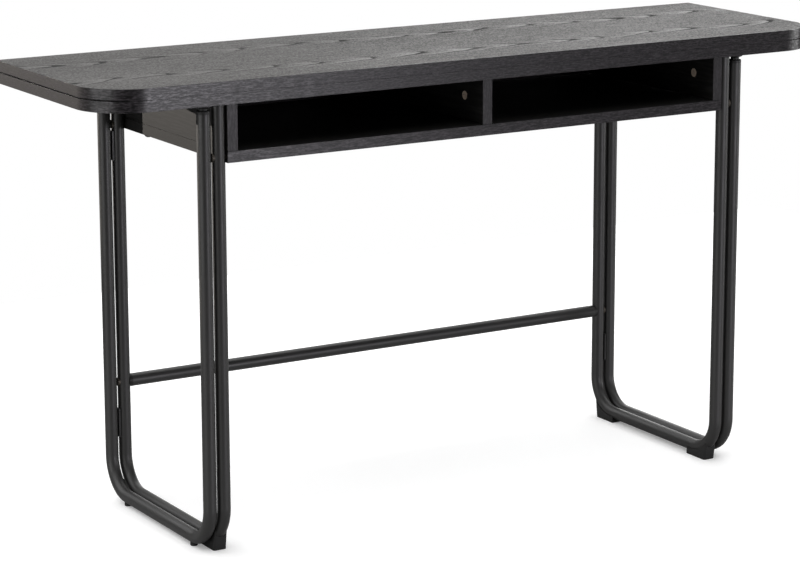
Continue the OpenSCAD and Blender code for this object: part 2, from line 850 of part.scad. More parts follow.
// Screw-in pads that stand under the leaf
module gate_pads(side) {
    base = cap_h + seat;
    neck_top = cap_h + pad_neck_h;
    color(plastic_colour) for (y = [-leg_y, leg_y]) translate([side * gate_x, y, gate_top]) {
        rotate_extrude() polygon([
            [0, -stud_l], [stud_r, -stud_l], [stud_r, base], [pad_neck_r, base], [pad_neck_r, neck_top - 1],
            [pad_neck_r + 1, neck_top], [pad_r, neck_top + pad_disc_h * 0.55],
            [pad_r, neck_top + pad_disc_h - 0.5], [pad_r - 0.5, neck_top + pad_disc_h],
            [0, neck_top + pad_disc_h]]);
    }
}

lower_leaf();
lower_edging();
leaf_bumpers();
box_bottom();
box_left_end();
box_right_end();
box_divider();
box_back();
box_dowels();
box_screws();
cam_locks();
cam_bolts();
insert_nuts();
fixed_frame(-1);  // frame_left
fixed_frame(1);  // frame_right
frame_plugs();
box_bolts();
stretcher();
stretcher_plugs();
stretcher_bolts();
foot(-1, -1);  // foot_left_front
foot(-1, 1);  // foot_left_back
foot(1, -1);  // foot_right_front
foot(1, 1);  // foot_right_back
foot_screws();
fixed_plates(-1);  // hinge_plates_left
fixed_plates(1);  // hinge_plates_right
gate_hinge_pins();
fixed_hinge_screws();
leaf_hinge_half(leaf_hinge_x[0]);  // leaf_hinge_left
leaf_hinge_half(leaf_hinge_x[1]);  // leaf_hinge_middle
leaf_hinge_half(leaf_hinge_x[2]);  // leaf_hinge_right
leaf_hinge_screws();
leaf_hinge_pins();
link(leaf_hinge_x[0]);  // link_left
link(leaf_hinge_x[1]);  // link_middle
link(leaf_hinge_x[2]);  // link_right
upper_leaf();
upper_edging();
flap_hinge_half(leaf_hinge_x[0]);  // flap_hinge_left
flap_hinge_half(leaf_hinge_x[1]);  // flap_hinge_middle
flap_hinge_half(leaf_hinge_x[2]);  // flap_hinge_right
flap_hinge_screws();
flap_hinge_pins();
gate(-1);  // gate_left
gate_glides(-1);  // gate_left_glides
gate_caps(-1);  // gate_left_caps
gate_pads(-1);  // gate_left_pads
moving_plates(-1);  // gate_left_hinge_plates
plate_screws(-1, false);  // gate_left_screws
gate(1);  // gate_right
gate_glides(1);  // gate_right_glides
gate_caps(1);  // gate_right_caps
gate_pads(1);  // gate_right_pads
moving_plates(1);  // gate_right_hinge_plates
plate_screws(1, false);  // gate_right_screws
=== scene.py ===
"""Extending dining table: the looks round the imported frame.

A slim console table whose upper leaf folds over behind it, on a shallow open box, two fixed
frames of bent tube and two gate frames. Every length is in metres, in the frame's own axes:
+X to the right along the table, +Y to the back and +Z up.
"""

import logging
import math
from collections.abc import Callable, Iterable, Sequence
from dataclasses import dataclass, field
from enum import Enum

import bmesh
import bpy
from mathutils import Matrix, Vector


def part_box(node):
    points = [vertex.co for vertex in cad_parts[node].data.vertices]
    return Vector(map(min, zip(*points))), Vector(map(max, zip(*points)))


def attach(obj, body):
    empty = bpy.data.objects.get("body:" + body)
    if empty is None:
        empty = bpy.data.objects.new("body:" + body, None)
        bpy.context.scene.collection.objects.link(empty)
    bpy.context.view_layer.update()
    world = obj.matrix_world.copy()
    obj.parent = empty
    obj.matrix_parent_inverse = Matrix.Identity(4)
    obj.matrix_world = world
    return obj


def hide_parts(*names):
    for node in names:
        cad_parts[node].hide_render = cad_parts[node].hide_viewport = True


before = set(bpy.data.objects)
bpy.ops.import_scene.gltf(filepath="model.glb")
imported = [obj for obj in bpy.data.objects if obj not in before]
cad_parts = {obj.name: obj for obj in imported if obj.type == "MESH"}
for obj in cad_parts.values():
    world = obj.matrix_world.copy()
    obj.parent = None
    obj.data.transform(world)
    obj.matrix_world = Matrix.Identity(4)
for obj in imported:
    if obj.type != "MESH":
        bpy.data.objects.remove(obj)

MM = 0.001
LOG = logging.getLogger("table")

TABLE = "table"
FOLDING_LEAF = "folding_leaf"


class Run(Enum):
    """Direction in which the grain of a board runs."""

    ALONG_X = "x"
    ALONG_Y = "y"
    ALONG_Z = "z"
    ROUND_THE_RIM = "xy"


class Side(Enum):
    """Left or right half of the table, with the sign of its X."""

    LEFT = -1
    RIGHT = 1

    @property
    def word(self) -> str:
        """Word that this side has in the names of nodes and bodies."""
        return self.name.lower()

    @property
    def gate_body(self) -> str:
        """Name of the body that this side's gate frame is."""
        return f"{self.word}_gate"


class End(Enum):
    """Front or back of the table, with the sign of its Y."""

    FRONT = -1
    BACK = 1

    @property
    def word(self) -> str:
        """Word that this end has in the names of nodes."""
        return self.name.lower()


# Finishes


NOISE_RANGE = (0.3, 0.7)
MIX_INPUTS = (0, 6, 7)
MIX_OUTPUT = 2


@dataclass(frozen=True)
class Grain:
    """Fineness of a noise, in repeats for each metre.

    Attributes:
        x: Repeats along X.
        y: Repeats along Y.
        z: Repeats along Z.
        detail: Octaves of finer noise.
        roughness: Strength of each finer octave.
    """

    x: float
    y: float
    z: float
    detail: float = 3.0
    roughness: float = 0.6


class Graph:
    """Node tree of one finish, with short calls for the nodes that the finishes share."""

    def __init__(self, name: str) -> None:
        """Starts a material with a principled shader on its output.

        Args:
            name: Name of the material.
        """
        self.material = bpy.data.materials.new(name)
        self.material.use_nodes = True
        self.tree = self.material.node_tree
        self.tree.nodes.clear()
        self.shader = self.tree.nodes.new("ShaderNodeBsdfPrincipled")
        output = self.tree.nodes.new("ShaderNodeOutputMaterial")
        self.tree.links.new(self.shader.outputs["BSDF"], output.inputs["Surface"])
        self.origin = self.tree.nodes.new("ShaderNodeTexCoord").outputs["Object"]

    def feed(self, socket: bpy.types.NodeSocket, value: object) -> None:
        """Links a socket to another, or sets it to a plain value.

        Args:
            socket: Input that takes the value.
            value: An output socket, a number or a colour.
        """
        if isinstance(value, bpy.types.NodeSocket):
            self.tree.links.new(value, socket)
        else:
            socket.default_value = value

    def settle(self, **values: object) -> None:
        """Sets inputs of the shader by their names, with _ for a space.

        Args:
            values: Names and values of the inputs.
        """
        for name, value in values.items():
            self.feed(self.shader.inputs[name.replace("_", " ")], value)

    def parts(self) -> tuple[bpy.types.NodeSocket, bpy.types.NodeSocket, bpy.types.NodeSocket]:
        """Splits the object coordinates.

        Returns:
            X, Y and Z.
        """
        node = self.tree.nodes.new("ShaderNodeSeparateXYZ")
        self.tree.links.new(self.origin, node.inputs[0])
        return tuple(node.outputs)

    def noise(self, grain: Grain) -> bpy.types.NodeSocket:
        """Noise from 0 to 1 over the object coordinates.

        Args:
            grain: Fineness of the noise.

        Returns:
            The noise value.
        """
        scaled = self.tree.nodes.new("ShaderNodeMapping")
        scaled.inputs["Scale"].default_value = (grain.x, grain.y, grain.z)
        self.tree.links.new(self.origin, scaled.inputs["Vector"])
        node = self.tree.nodes.new("ShaderNodeTexNoise")
        node.inputs["Scale"].default_value = 1.0
        node.inputs["Detail"].default_value = grain.detail
        node.inputs["Roughness"].default_value = grain.roughness
        self.tree.links.new(scaled.outputs["Vector"], node.inputs["Vector"])
        return node.outputs["Fac"]

    def dice(self, value: bpy.types.NodeSocket) -> bpy.types.NodeSocket:
        """One random number from 0 to 1 for each whole number.

        Args:
            value: Whole number that picks the draw.

        Returns:
            The drawn value.
        """
        node = self.tree.nodes.new("ShaderNodeTexWhiteNoise")
        node.noise_dimensions = "1D"
        self.tree.links.new(value, node.inputs["W"])
        return node.outputs["Value"]

    def math(self, operation: str, a: object, b: object = 0.0) -> bpy.types.NodeSocket:
        """One Math node.

        Args:
            operation: Name of the operation.
            a: First operand.
            b: Second operand, where the operation has one.

        Returns:
            The result.
        """
        node = self.tree.nodes.new("ShaderNodeMath")
        node.operation = operation
        self.feed(node.inputs[0], a)
        self.feed(node.inputs[1], b)
        return node.outputs[0]

    def swing(self, value: object) -> bpy.types.NodeSocket:
        """Noise moved down by half, so that it swings about 0."""
        return self.math("SUBTRACT", value, 0.5)

    def total(self, start: object, *terms: tuple[object, float]) -> bpy.types.NodeSocket:
        """Sum of one value and some weighted ones.

        Args:
            start: Value that the others are added to.
            terms: Values, each with its weight.

        Returns:
            The sum.
        """
        for value, weight in terms:
            start = self.math("ADD", start, self.math("MULTIPLY", value, weight))
        return start

    def span(
        self, value: object, start: float, stop: float, low: float = 0.0, high: float = 1.0
    ) -> bpy.types.NodeSocket:
        """Smooth step from one level to another.

        Args:
            value: Value that drives the step.
            start: Value at which the step is at its low level.
            stop: Value at which the step is at its high level.
            low: Level at the start.
            high: Level at the stop.

        Returns:
            The level.
        """
        node = self.tree.nodes.new("ShaderNodeMapRange")
        node.interpolation_type = "SMOOTHSTEP"
        for name, number in (
            ("From Min", start), ("From Max", stop), ("To Min", low), ("To Max", high),
        ):
            node.inputs[name].default_value = number
        self.feed(node.inputs["Value"], value)
        return node.outputs["Result"]

    def about(
        self, value: object, middle: float, swing: tuple[float, float]
    ) -> bpy.types.NodeSocket:
        """Level that moves a little with a noise.

        Args:
            value: Noise from 0 to 1.
            middle: Level that it moves about.
            swing: What is added to the level where the noise is low, and where it is high.

        Returns:
            The level.
        """
        return self.span(value, *NOISE_RANGE, middle + swing[0], middle + swing[1])

    def blend(self, share: object, first: object, second: object) -> bpy.types.NodeSocket:
        """Mix of two colours.

        Args:
            share: Share of the second colour.
            first: Colour at 0.
            second: Colour at 1.

        Returns:
            The mixed colour.
        """
        node = self.tree.nodes.new("ShaderNodeMix")
        node.data_type = "RGBA"
        for index, value in zip(MIX_INPUTS, (share, first, second)):
            self.feed(node.inputs[index], value)
        return node.outputs[MIX_OUTPUT]

    def relief(self, height: bpy.types.NodeSocket, depth: float, strength: float) -> None:
        """Bump on the shader's normal.

        Args:
            height: Height from 0 to 1.
            depth: Height of 1, in metres.
            strength: Strength of the bump.
        """
        node = self.tree.nodes.new("ShaderNodeBump")
        node.inputs["Distance"].default_value = depth
        node.inputs["Strength"].default_value = strength
        self.tree.links.new(height, node.inputs["Height"])
        self.tree.links.new(node.outputs["Normal"], self.shader.inputs["Normal"])


Colour = tuple[float, float, float, float]


def grey(level: float, warm: float = 0.0) -> Colour:
    """Linear grey, warmed above 0 and cooled below.

    Args:
        level: Linear brightness.
        warm: Share by which red gains and blue loses.

    Returns:
        The colour with full alpha.
    """
    return (level * (1 + warm), level, level * (1 - warm), 1.0)


def shade(level: float, hue: tuple[float, float, float]) -> Colour:
    """Linear colour of one hue at one brightness, with full alpha."""
    return (level * hue[0], level * hue[1], level * hue[2], 1.0)


@dataclass(frozen=True)
class Finish:
    """Base of the finishes: a name, the record's slot, and one material made on demand.

    Attributes:
        name: Name of the material.
        slot: Slot of the record that the finish stands for; it is not used by this script.
    """

    name: str
    slot: str

    def material(self) -> bpy.types.Material:
        """Makes the material of this finish, or finds it where it is made already.

        Returns:
            The material.
        """
        made = bpy.data.materials.get(self.name)
        if made is None:
            graph = Graph(self.name)
            self.weave(graph)
            made = graph.material
        return made

    def weave(self, graph: Graph) -> None:
        """Builds the nodes of the finish.

        Args:
            graph: Tree that takes the nodes.
        """
        raise NotImplementedError


@dataclass(frozen=True)
class StainedVeneer(Finish):
    """Black-stained ash: fine open pores, and a row of nested arches along each sheet's middle.

    Attributes:
        sheet_middle: Distance of each row of arches from the middle of the leaf.
        sway: How far a row wanders to either side.
        wander: Noise that a row wanders by.
        arch_pitch: Distance from one arch to the next.
        arch_half: Half the width of an arch.
        arch_power: Power of its curve.
        arch_lean: Share of a pitch by which one flank runs ahead of the middle.
        full_width: Share of the half width within which an arch has its full strength.
        rear_start: Share of a pitch by which the rear row is shifted.
        ripple: Noise that makes the arches uneven.
        ripple_weight: Pitches that this noise shifts them by.
        rim_onset: Share of a pitch in which a dark rim sets in.
        rim_end: Share of a pitch at which it has faded out.
        rim_depths: Depth of the faintest rim and of the darkest.
        heart: Shares of a pitch between which the light wood comes up.
        heart_level: Brightness that it adds.
        pores: Noise of the pores.
        pore_weight: Weight of the pores in the tone.
        pore_depth: Depth of the pores.
        pore_strength: Strength of their relief.
        lines: Noise of the long lines of the grain.
        line_weight: Weight of the lines in the tone.
        cloud: Noise of the slow change of tone.
        cloud_weight: Weight of that change.
        tone: Linear brightness of the wood.
        tone_range: Sums of all the patterns at which it is darkest and lightest.
        darkest: Share of the tone where it is darkest.
        lightest: Share of the tone where it is lightest.
        warmth: Warmth of the lightest wood.
        gloss: Specular level.
        gloss_range: Shares of the tone's range at which it is roughest and smoothest.
        roughs: Roughness at those two.
    """

    sheet_middle: float = 100 * MM
    sway: float = 30 * MM
    wander: Grain = Grain(4.5, 0.8, 0.8, detail=1.0, roughness=0.55)
    arch_pitch: float = 92 * MM
    arch_half: float = 27 * MM
    arch_power: float = 1.6
    arch_lean: float = 0.45
    full_width: float = 0.15
    rear_start: float = 0.43
    ripple: Grain = Grain(9.0, 25.0, 25.0, detail=2.0, roughness=0.55)
    ripple_weight: float = 1.5
    rim_onset: float = 0.04
    rim_end: float = 0.26
    rim_depths: tuple[float, float] = (0.5, 1.1)
    heart: tuple[float, float] = (0.3, 0.9)
    heart_level: float = 0.27
    pores: Grain = Grain(330.0, 230.0, 230.0, roughness=0.8)
    pore_weight: float = 1.7
    pore_depth: float = 0.2 * MM
    pore_strength: float = 0.4
    lines: Grain = Grain(16.0, 190.0, 190.0)
    line_weight: float = 0.5
    cloud: Grain = Grain(3.0, 7.0, 7.0, detail=2.0, roughness=0.55)
    cloud_weight: float = 0.3
    tone: float = 0.085
    tone_range: tuple[float, float] = (-0.2, 1.2)
    darkest: float = 0.05
    lightest: float = 1.95
    warmth: float = 0.025
    gloss: float = 0.28
    gloss_range: tuple[float, float] = (0.1, 0.9)
    roughs: tuple[float, float] = (0.85, 0.42)

    def weave(self, graph: Graph) -> None:
        """Builds the arches, the pores and the slow change of tone.

        Args:
            graph: Tree that takes the nodes.
        """
        pores = graph.noise(self.pores)
        share = graph.total(
            graph.math("ADD", self._arches(graph), 0.5),
            (graph.swing(pores), self.pore_weight),
            (graph.swing(graph.noise(self.lines)), self.line_weight),
            (graph.swing(graph.noise(self.cloud)), self.cloud_weight),
        )
        share = graph.span(share, *self.tone_range)
        dark = grey(self.tone * self.darkest)
        light = grey(self.tone * self.lightest, self.warmth)
        graph.settle(
            Base_Color=graph.blend(share, dark, light),
            Roughness=graph.span(share, *self.gloss_range, *self.roughs),
            Specular_IOR_Level=self.gloss,
        )
        graph.relief(pores, self.pore_depth, self.pore_strength)

    def _arches(self, graph: Graph) -> bpy.types.NodeSocket:
        """Builds two rows of arches, one for each sheet of the veneer.

        Args:
            graph: Tree that takes the nodes.

        Returns:
            Their level, below 0 on the dark rims and above 0 on the light wood inside.
        """
        x, y, _ = graph.parts()
        rear = graph.math("GREATER_THAN", y, 0.0)
        drift = graph.math("MULTIPLY", graph.swing(graph.noise(self.wander)), 2 * self.sway)
        across = graph.math("SUBTRACT", graph.math("ABSOLUTE", y), self.sheet_middle)
        across = graph.math("ADD", across, drift)
        off = graph.math("ABSOLUTE", across)
        bow = graph.math("POWER", graph.math("DIVIDE", off, self.arch_half), self.arch_power)
        reach = graph.total(
            graph.math("ADD", graph.math("DIVIDE", x, self.arch_pitch), bow),
            (rear, self.rear_start),
            (graph.math("DIVIDE", across, self.arch_half), self.arch_lean),
            (graph.noise(self.ripple), self.ripple_weight),
        )
        cell = graph.math("FRACT", reach)
        draw = graph.dice(graph.math("FLOOR", reach))
        onset = graph.span(cell, 0.0, self.rim_onset)
        rim = graph.math("MULTIPLY", onset, graph.span(cell, self.rim_end, self.rim_onset))
        rim = graph.math("MULTIPLY", rim, graph.span(draw, 0.0, 1.0, *self.rim_depths))
        heart = graph.math("MULTIPLY", graph.span(cell, *self.heart), self.heart_level)
        near = graph.span(off, self.arch_half, self.arch_half * self.full_width)
        return graph.math("MULTIPLY", graph.math("SUBTRACT", heart, rim), near)


@dataclass(frozen=True)
class StreakedBoard(Finish):
    """Printed wood foil: fine streaks along the run of the board or of its edge.

    Attributes:
        run: Direction of the streaks.
        tone: Linear brightness of the foil.
        tone_range: Sums of all the patterns at which it is darkest and lightest.
        hue: Shares of the tone in red, green and blue.
        contrast: Share by which the dark streaks fall below the tone.
        fleck: Share of the tone that the light streaks have.
        gloss: Specular level.
        gloss_range: Shares of the tone's range at which it is roughest and smoothest.
        rough: Roughness of the dark streaks.
        rough_drop: How much smoother the light ones are, at a contrast of 1.
        slow: Repeats for each metre along the run.
        fine: Repeats for each metre across it.
        streak_weight: Weight of the streaks in the tone.
        streak_depth: Height of the streaks.
        streak_strength: Strength of their relief, at a contrast of 1.
        speck_slow: How many times finer than the streaks the specks are along the run.
        speck_fine: How many times finer they are across it.
        speck_weight: Weight of the specks in the tone.
        broad_scale: Fineness of the broad bands, as a share of the streaks'.
        broad_weight: Weight of the broad bands in the tone.
    """

    run: Run = Run.ALONG_X
    tone: float = 0.016
    tone_range: tuple[float, float] = (0.48, 0.74)
    hue: tuple[float, float, float] = (1.07, 0.95, 1.05)
    contrast: float = 0.5
    fleck: float = 1.35
    gloss: float = 0.35
    gloss_range: tuple[float, float] = (0.2, 0.8)
    rough: float = 0.52
    rough_drop: float = 0.12
    slow: float = 55.0
    fine: float = 480.0
    streak_weight: float = 0.6
    streak_depth: float = 0.04 * MM
    streak_strength: float = 0.36
    speck_slow: float = 3.0
    speck_fine: float = 1.2
    speck_weight: float = 0.5
    broad_scale: float = 0.3
    broad_weight: float = 0.05

    def weave(self, graph: Graph) -> None:
        """Builds long streaks, fine across the run and slow along it, with specks on them.

        Args:
            graph: Tree that takes the nodes.
        """
        run = self._repeats(self.slow, self.fine)
        broad = [scale * self.broad_scale for scale in run]
        short = self._repeats(self.slow * self.speck_slow, self.fine * self.speck_fine)
        streaks = graph.noise(Grain(*run))
        share = graph.total(
            0.0,
            (graph.noise(Grain(*broad, detail=2.0, roughness=0.55)), self.broad_weight),
            (streaks, self.streak_weight),
            (graph.noise(Grain(*short, detail=2.0)), self.speck_weight),
        )
        share = graph.span(share, *self.tone_range)
        dark = shade(self.tone * (1 - self.contrast), self.hue)
        light = shade(self.tone * self.fleck, self.hue)
        smooth = self.rough - self.rough_drop * self.contrast
        graph.settle(
            Base_Color=graph.blend(share, dark, light),
            Roughness=graph.span(share, *self.gloss_range, self.rough, smooth),
            Specular_IOR_Level=self.gloss,
        )
        graph.relief(streaks, self.streak_depth, self.streak_strength * self.contrast)

    def _repeats(self, slow: float, fine: float) -> list[float]:
        """Repeats along X, Y and Z, slow along the run and fine across it."""
        return [slow if axis in self.run.value else fine for axis in "xyz"]


@dataclass(frozen=True)
class MottledBlack(Finish):
    """Base of the black coats and plastics: cloudy in tone and gloss, with a fine relief.

    Attributes:
        tone: Linear brightness.
        rough: Roughness.
        rough_swing: What is added to the roughness where the clouds are low, and where high.
        dark: Share of the tone in the dark clouds.
        dark_warmth: Warmth of the dark clouds.
        light: Share of the tone in the light clouds.
        light_warmth: Warmth of the light clouds.
        gloss: Specular level.
        cloud: Noise of the clouds.
        relief: Noise of the relief.
        relief_depth: Height of the relief.
        relief_strength: Strength of the relief.
    """

    tone: float
    rough: float
    rough_swing: tuple[float, float]
    dark: float
    dark_warmth: float
    light: float
    light_warmth: float
    gloss: float
    cloud: Grain
    relief: Grain
    relief_depth: float
    relief_strength: float

    def weave(self, graph: Graph) -> None:
        """Builds the clouds and the relief.

        Args:
            graph: Tree that takes the nodes.
        """
        cloud = graph.noise(self.cloud)
        dark = grey(self.tone * self.dark, self.dark_warmth)
        light = grey(self.tone * self.light, self.light_warmth)
        graph.settle(
            Base_Color=graph.blend(cloud, dark, light),
            Roughness=graph.about(cloud, self.rough, self.rough_swing),
            Specular_IOR_Level=self.gloss,
        )
        graph.relief(graph.noise(self.relief), self.relief_depth, self.relief_strength)


@dataclass(frozen=True)
class PowderCoat(MottledBlack):
    """Satin black powder coat with a faint orange peel."""

    tone: float = 0.012
    rough: float = 0.46
    rough_swing: tuple[float, float] = (-0.04, 0.05)
    dark: float = 0.8
    dark_warmth: float = 0.06
    light: float = 1.25
    light_warmth: float = 0.04
    gloss: float = 0.62
    cloud: Grain = Grain(14.0, 14.0, 14.0)
    relief: Grain = Grain(900.0, 900.0, 900.0, detail=2.0, roughness=0.5)
    relief_depth: float = 0.08 * MM
    relief_strength: float = 0.22


@dataclass(frozen=True)
class MouldedPlastic(MottledBlack):
    """Black plastic with the fine grain of an etched mould and a slight smear in its gloss."""

    tone: float = 0.011
    rough: float = 0.5
    rough_swing: tuple[float, float] = (-0.06, 0.06)
    dark: float = 0.75
    dark_warmth: float = 0.0
    light: float = 1.4
    light_warmth: float = 0.03
    gloss: float = 0.36
    cloud: Grain = Grain(60.0, 60.0, 25.0)
    relief: Grain = Grain(2400.0, 2400.0, 2400.0, detail=2.0)
    relief_depth: float = 0.05 * MM
    relief_strength: float = 0.35


@dataclass(frozen=True)
class Plated(Finish):
    """Plated or blackened steel with fine rolling marks.

    Attributes:
        tint: Colour of the metal.
        dimmed: Share of the tint in the dark clouds.
        rough: Roughness.
        rough_swing: What is added to the roughness where the clouds are low, and where high.
        metal: Share of the look that is metallic.
        cloud: Noise of the clouds.
        marks: Noise of the rolling marks.
        mark_depth: Height of the marks.
        mark_strength: Strength of their relief.
    """

    tint: Colour = (0.62, 0.60, 0.55, 1.0)
    dimmed: float = 0.72
    rough: float = 0.34
    rough_swing: tuple[float, float] = (-0.07, 0.09)
    metal: float = 1.0
    cloud: Grain = Grain(160.0, 160.0, 160.0, detail=4.0)
    marks: Grain = Grain(300.0, 300.0, 4000.0, detail=2.0, roughness=0.5)
    mark_depth: float = 0.02 * MM
    mark_strength: float = 0.25

    def weave(self, graph: Graph) -> None:
        """Builds the clouded plating and its marks.

        Args:
            graph: Tree that takes the nodes.
        """
        cloud = graph.noise(self.cloud)
        red, green, blue, alpha = self.tint
        dim = (red * self.dimmed, green * self.dimmed, blue * self.dimmed, alpha)
        graph.settle(
            Base_Color=graph.blend(cloud, dim, self.tint),
            Metallic=self.metal,
            Roughness=graph.about(cloud, self.rough, self.rough_swing),
        )
        graph.relief(graph.noise(self.marks), self.mark_depth, self.mark_strength)


@dataclass(frozen=True)
class RawWood(Finish):
    """Bare beech of the dowels.

    Attributes:
        dark: Colour between the flecks.
        light: Colour of the flecks.
        rough: Roughness.
        flecks: Noise of the flecks.
        fleck_depth: Height of the flecks.
        fleck_strength: Strength of their relief.
    """

    dark: Colour = (0.46, 0.31, 0.17, 1.0)
    light: Colour = (0.66, 0.50, 0.32, 1.0)
    rough: float = 0.7
    flecks: Grain = Grain(700.0, 700.0, 90.0)
    fleck_depth: float = 0.05 * MM
    fleck_strength: float = 0.3

    def weave(self, graph: Graph) -> None:
        """Builds short flecks along the dowel.

        Args:
            graph: Tree that takes the nodes.
        """
        flecks = graph.noise(self.flecks)
        graph.settle(Base_Color=graph.blend(flecks, self.dark, self.light), Roughness=self.rough)
        graph.relief(flecks, self.fleck_depth, self.fleck_strength)


TOP_FACE = StainedVeneer("Stained_ash_veneer", "stained_top")
EDGE_BAND = StreakedBoard(
    "Streaked_edge_band", "edging", run=Run.ROUND_THE_RIM, tone=0.0105, contrast=0.7,
    gloss=0.297, rough=0.36, fleck=4.8,
)
EDGE_UPRIGHT = StreakedBoard(
    "Upright_edge_band", "edging", run=Run.ALONG_Z, contrast=0.35, gloss=0.3, rough=0.46,
    fleck=2.2,
)
BOARD_ACROSS = StreakedBoard(
    "Box_foil_front_to_back", "box_board", run=Run.ALONG_Y, tone=0.009,
    hue=(1.04, 1.0, 0.96), contrast=0.5, gloss=0.23, fleck=1.7, slow=9.0, fine=260.0,
)
BOARD_ALONG = StreakedBoard(
    "Box_foil_left_to_right", "box_board", run=Run.ALONG_X, tone=0.011,
    hue=(1.04, 1.0, 0.96), contrast=0.35, gloss=0.22, slow=14.0,
)
TUBE_COAT = PowderCoat("Satin_black_powder_coat", "black_tube")
BLACK_PLASTIC = MouldedPlastic("Black_moulded_plastic", "black_plastic")
BLACK_STEEL = Plated(
    "Blackened_steel", "black_fastener", tint=(0.035, 0.034, 0.034, 1.0), rough=0.42, metal=0.4
)
ZINC = Plated("Zinc_plate", "zinc_fitting", tint=(0.66, 0.62, 0.54, 1.0))
CAM_ZINC = Plated(
    "Pale_die_cast_zinc", "zinc_fitting", tint=(0.60, 0.49, 0.40, 1.0), rough=0.45, metal=0.1
)
BOLT_STEEL = Plated(
    "Dull_bolt_steel", "zinc_fitting", tint=(0.06, 0.05, 0.038, 1.0), rough=0.5, metal=0.3
)
BEECH = RawWood("Raw_beech", "dowel_wood")
RUBBER = MouldedPlastic("Soft_black_rubber", "bumper_rubber", tone=0.03, rough=0.75)


def paint(finish: Finish, *nodes: str) -> None:
    """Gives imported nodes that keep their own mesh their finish.

    Args:
        finish: Finish that they get.
        nodes: Names of the nodes.
    """
    for name in nodes:
        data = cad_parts[name].data
        data.materials.clear()
        data.materials.append(finish.material())
        LOG.info("%s: finish %s", name, finish.name)


# Mesh helpers


Ring = list[bmesh.types.BMVert | bmesh.types.BMEdge]
NODE_WELD = 0.002 * MM
SHAPE_WELD = 0.001 * MM
FLAT_ANGLE = math.radians(0.4)
SHARP_ANGLE = math.radians(38)
SQUARE_EDGE = 60.0
EASE_STEPS = 2
ACROSS_X = Matrix.Rotation(math.radians(90), 4, "Y")


def shift(x: float = 0.0, y: float = 0.0, z: float = 0.0) -> Matrix:
    """Matrix that moves by x, y and z."""
    return Matrix.Translation((x, y, z))


def flip(axis: str) -> Matrix:
    """Matrix that mirrors along one axis, X, Y or Z."""
    return Matrix.Diagonal([-1.0 if letter == axis else 1.0 for letter in "XYZ"] + [1.0])


def arc(
    middle: tuple[float, float], radius: float, start: float, stop: float, steps: int
) -> list[tuple[float, float]]:
    """Points along an arc in a profile.

    Args:
        middle: Centre of the arc.
        radius: Radius of the arc.
        start: First angle in degrees, counted from the profile's first axis.
        stop: Last angle in degrees.
        steps: Number of steps between them.

    Returns:
        The points from start to stop, both included.
    """
    angles = [math.radians(start + (stop - start) * i / steps) for i in range(steps + 1)]
    return [
        (middle[0] + radius * math.cos(a), middle[1] + radius * math.sin(a)) for a in angles
    ]


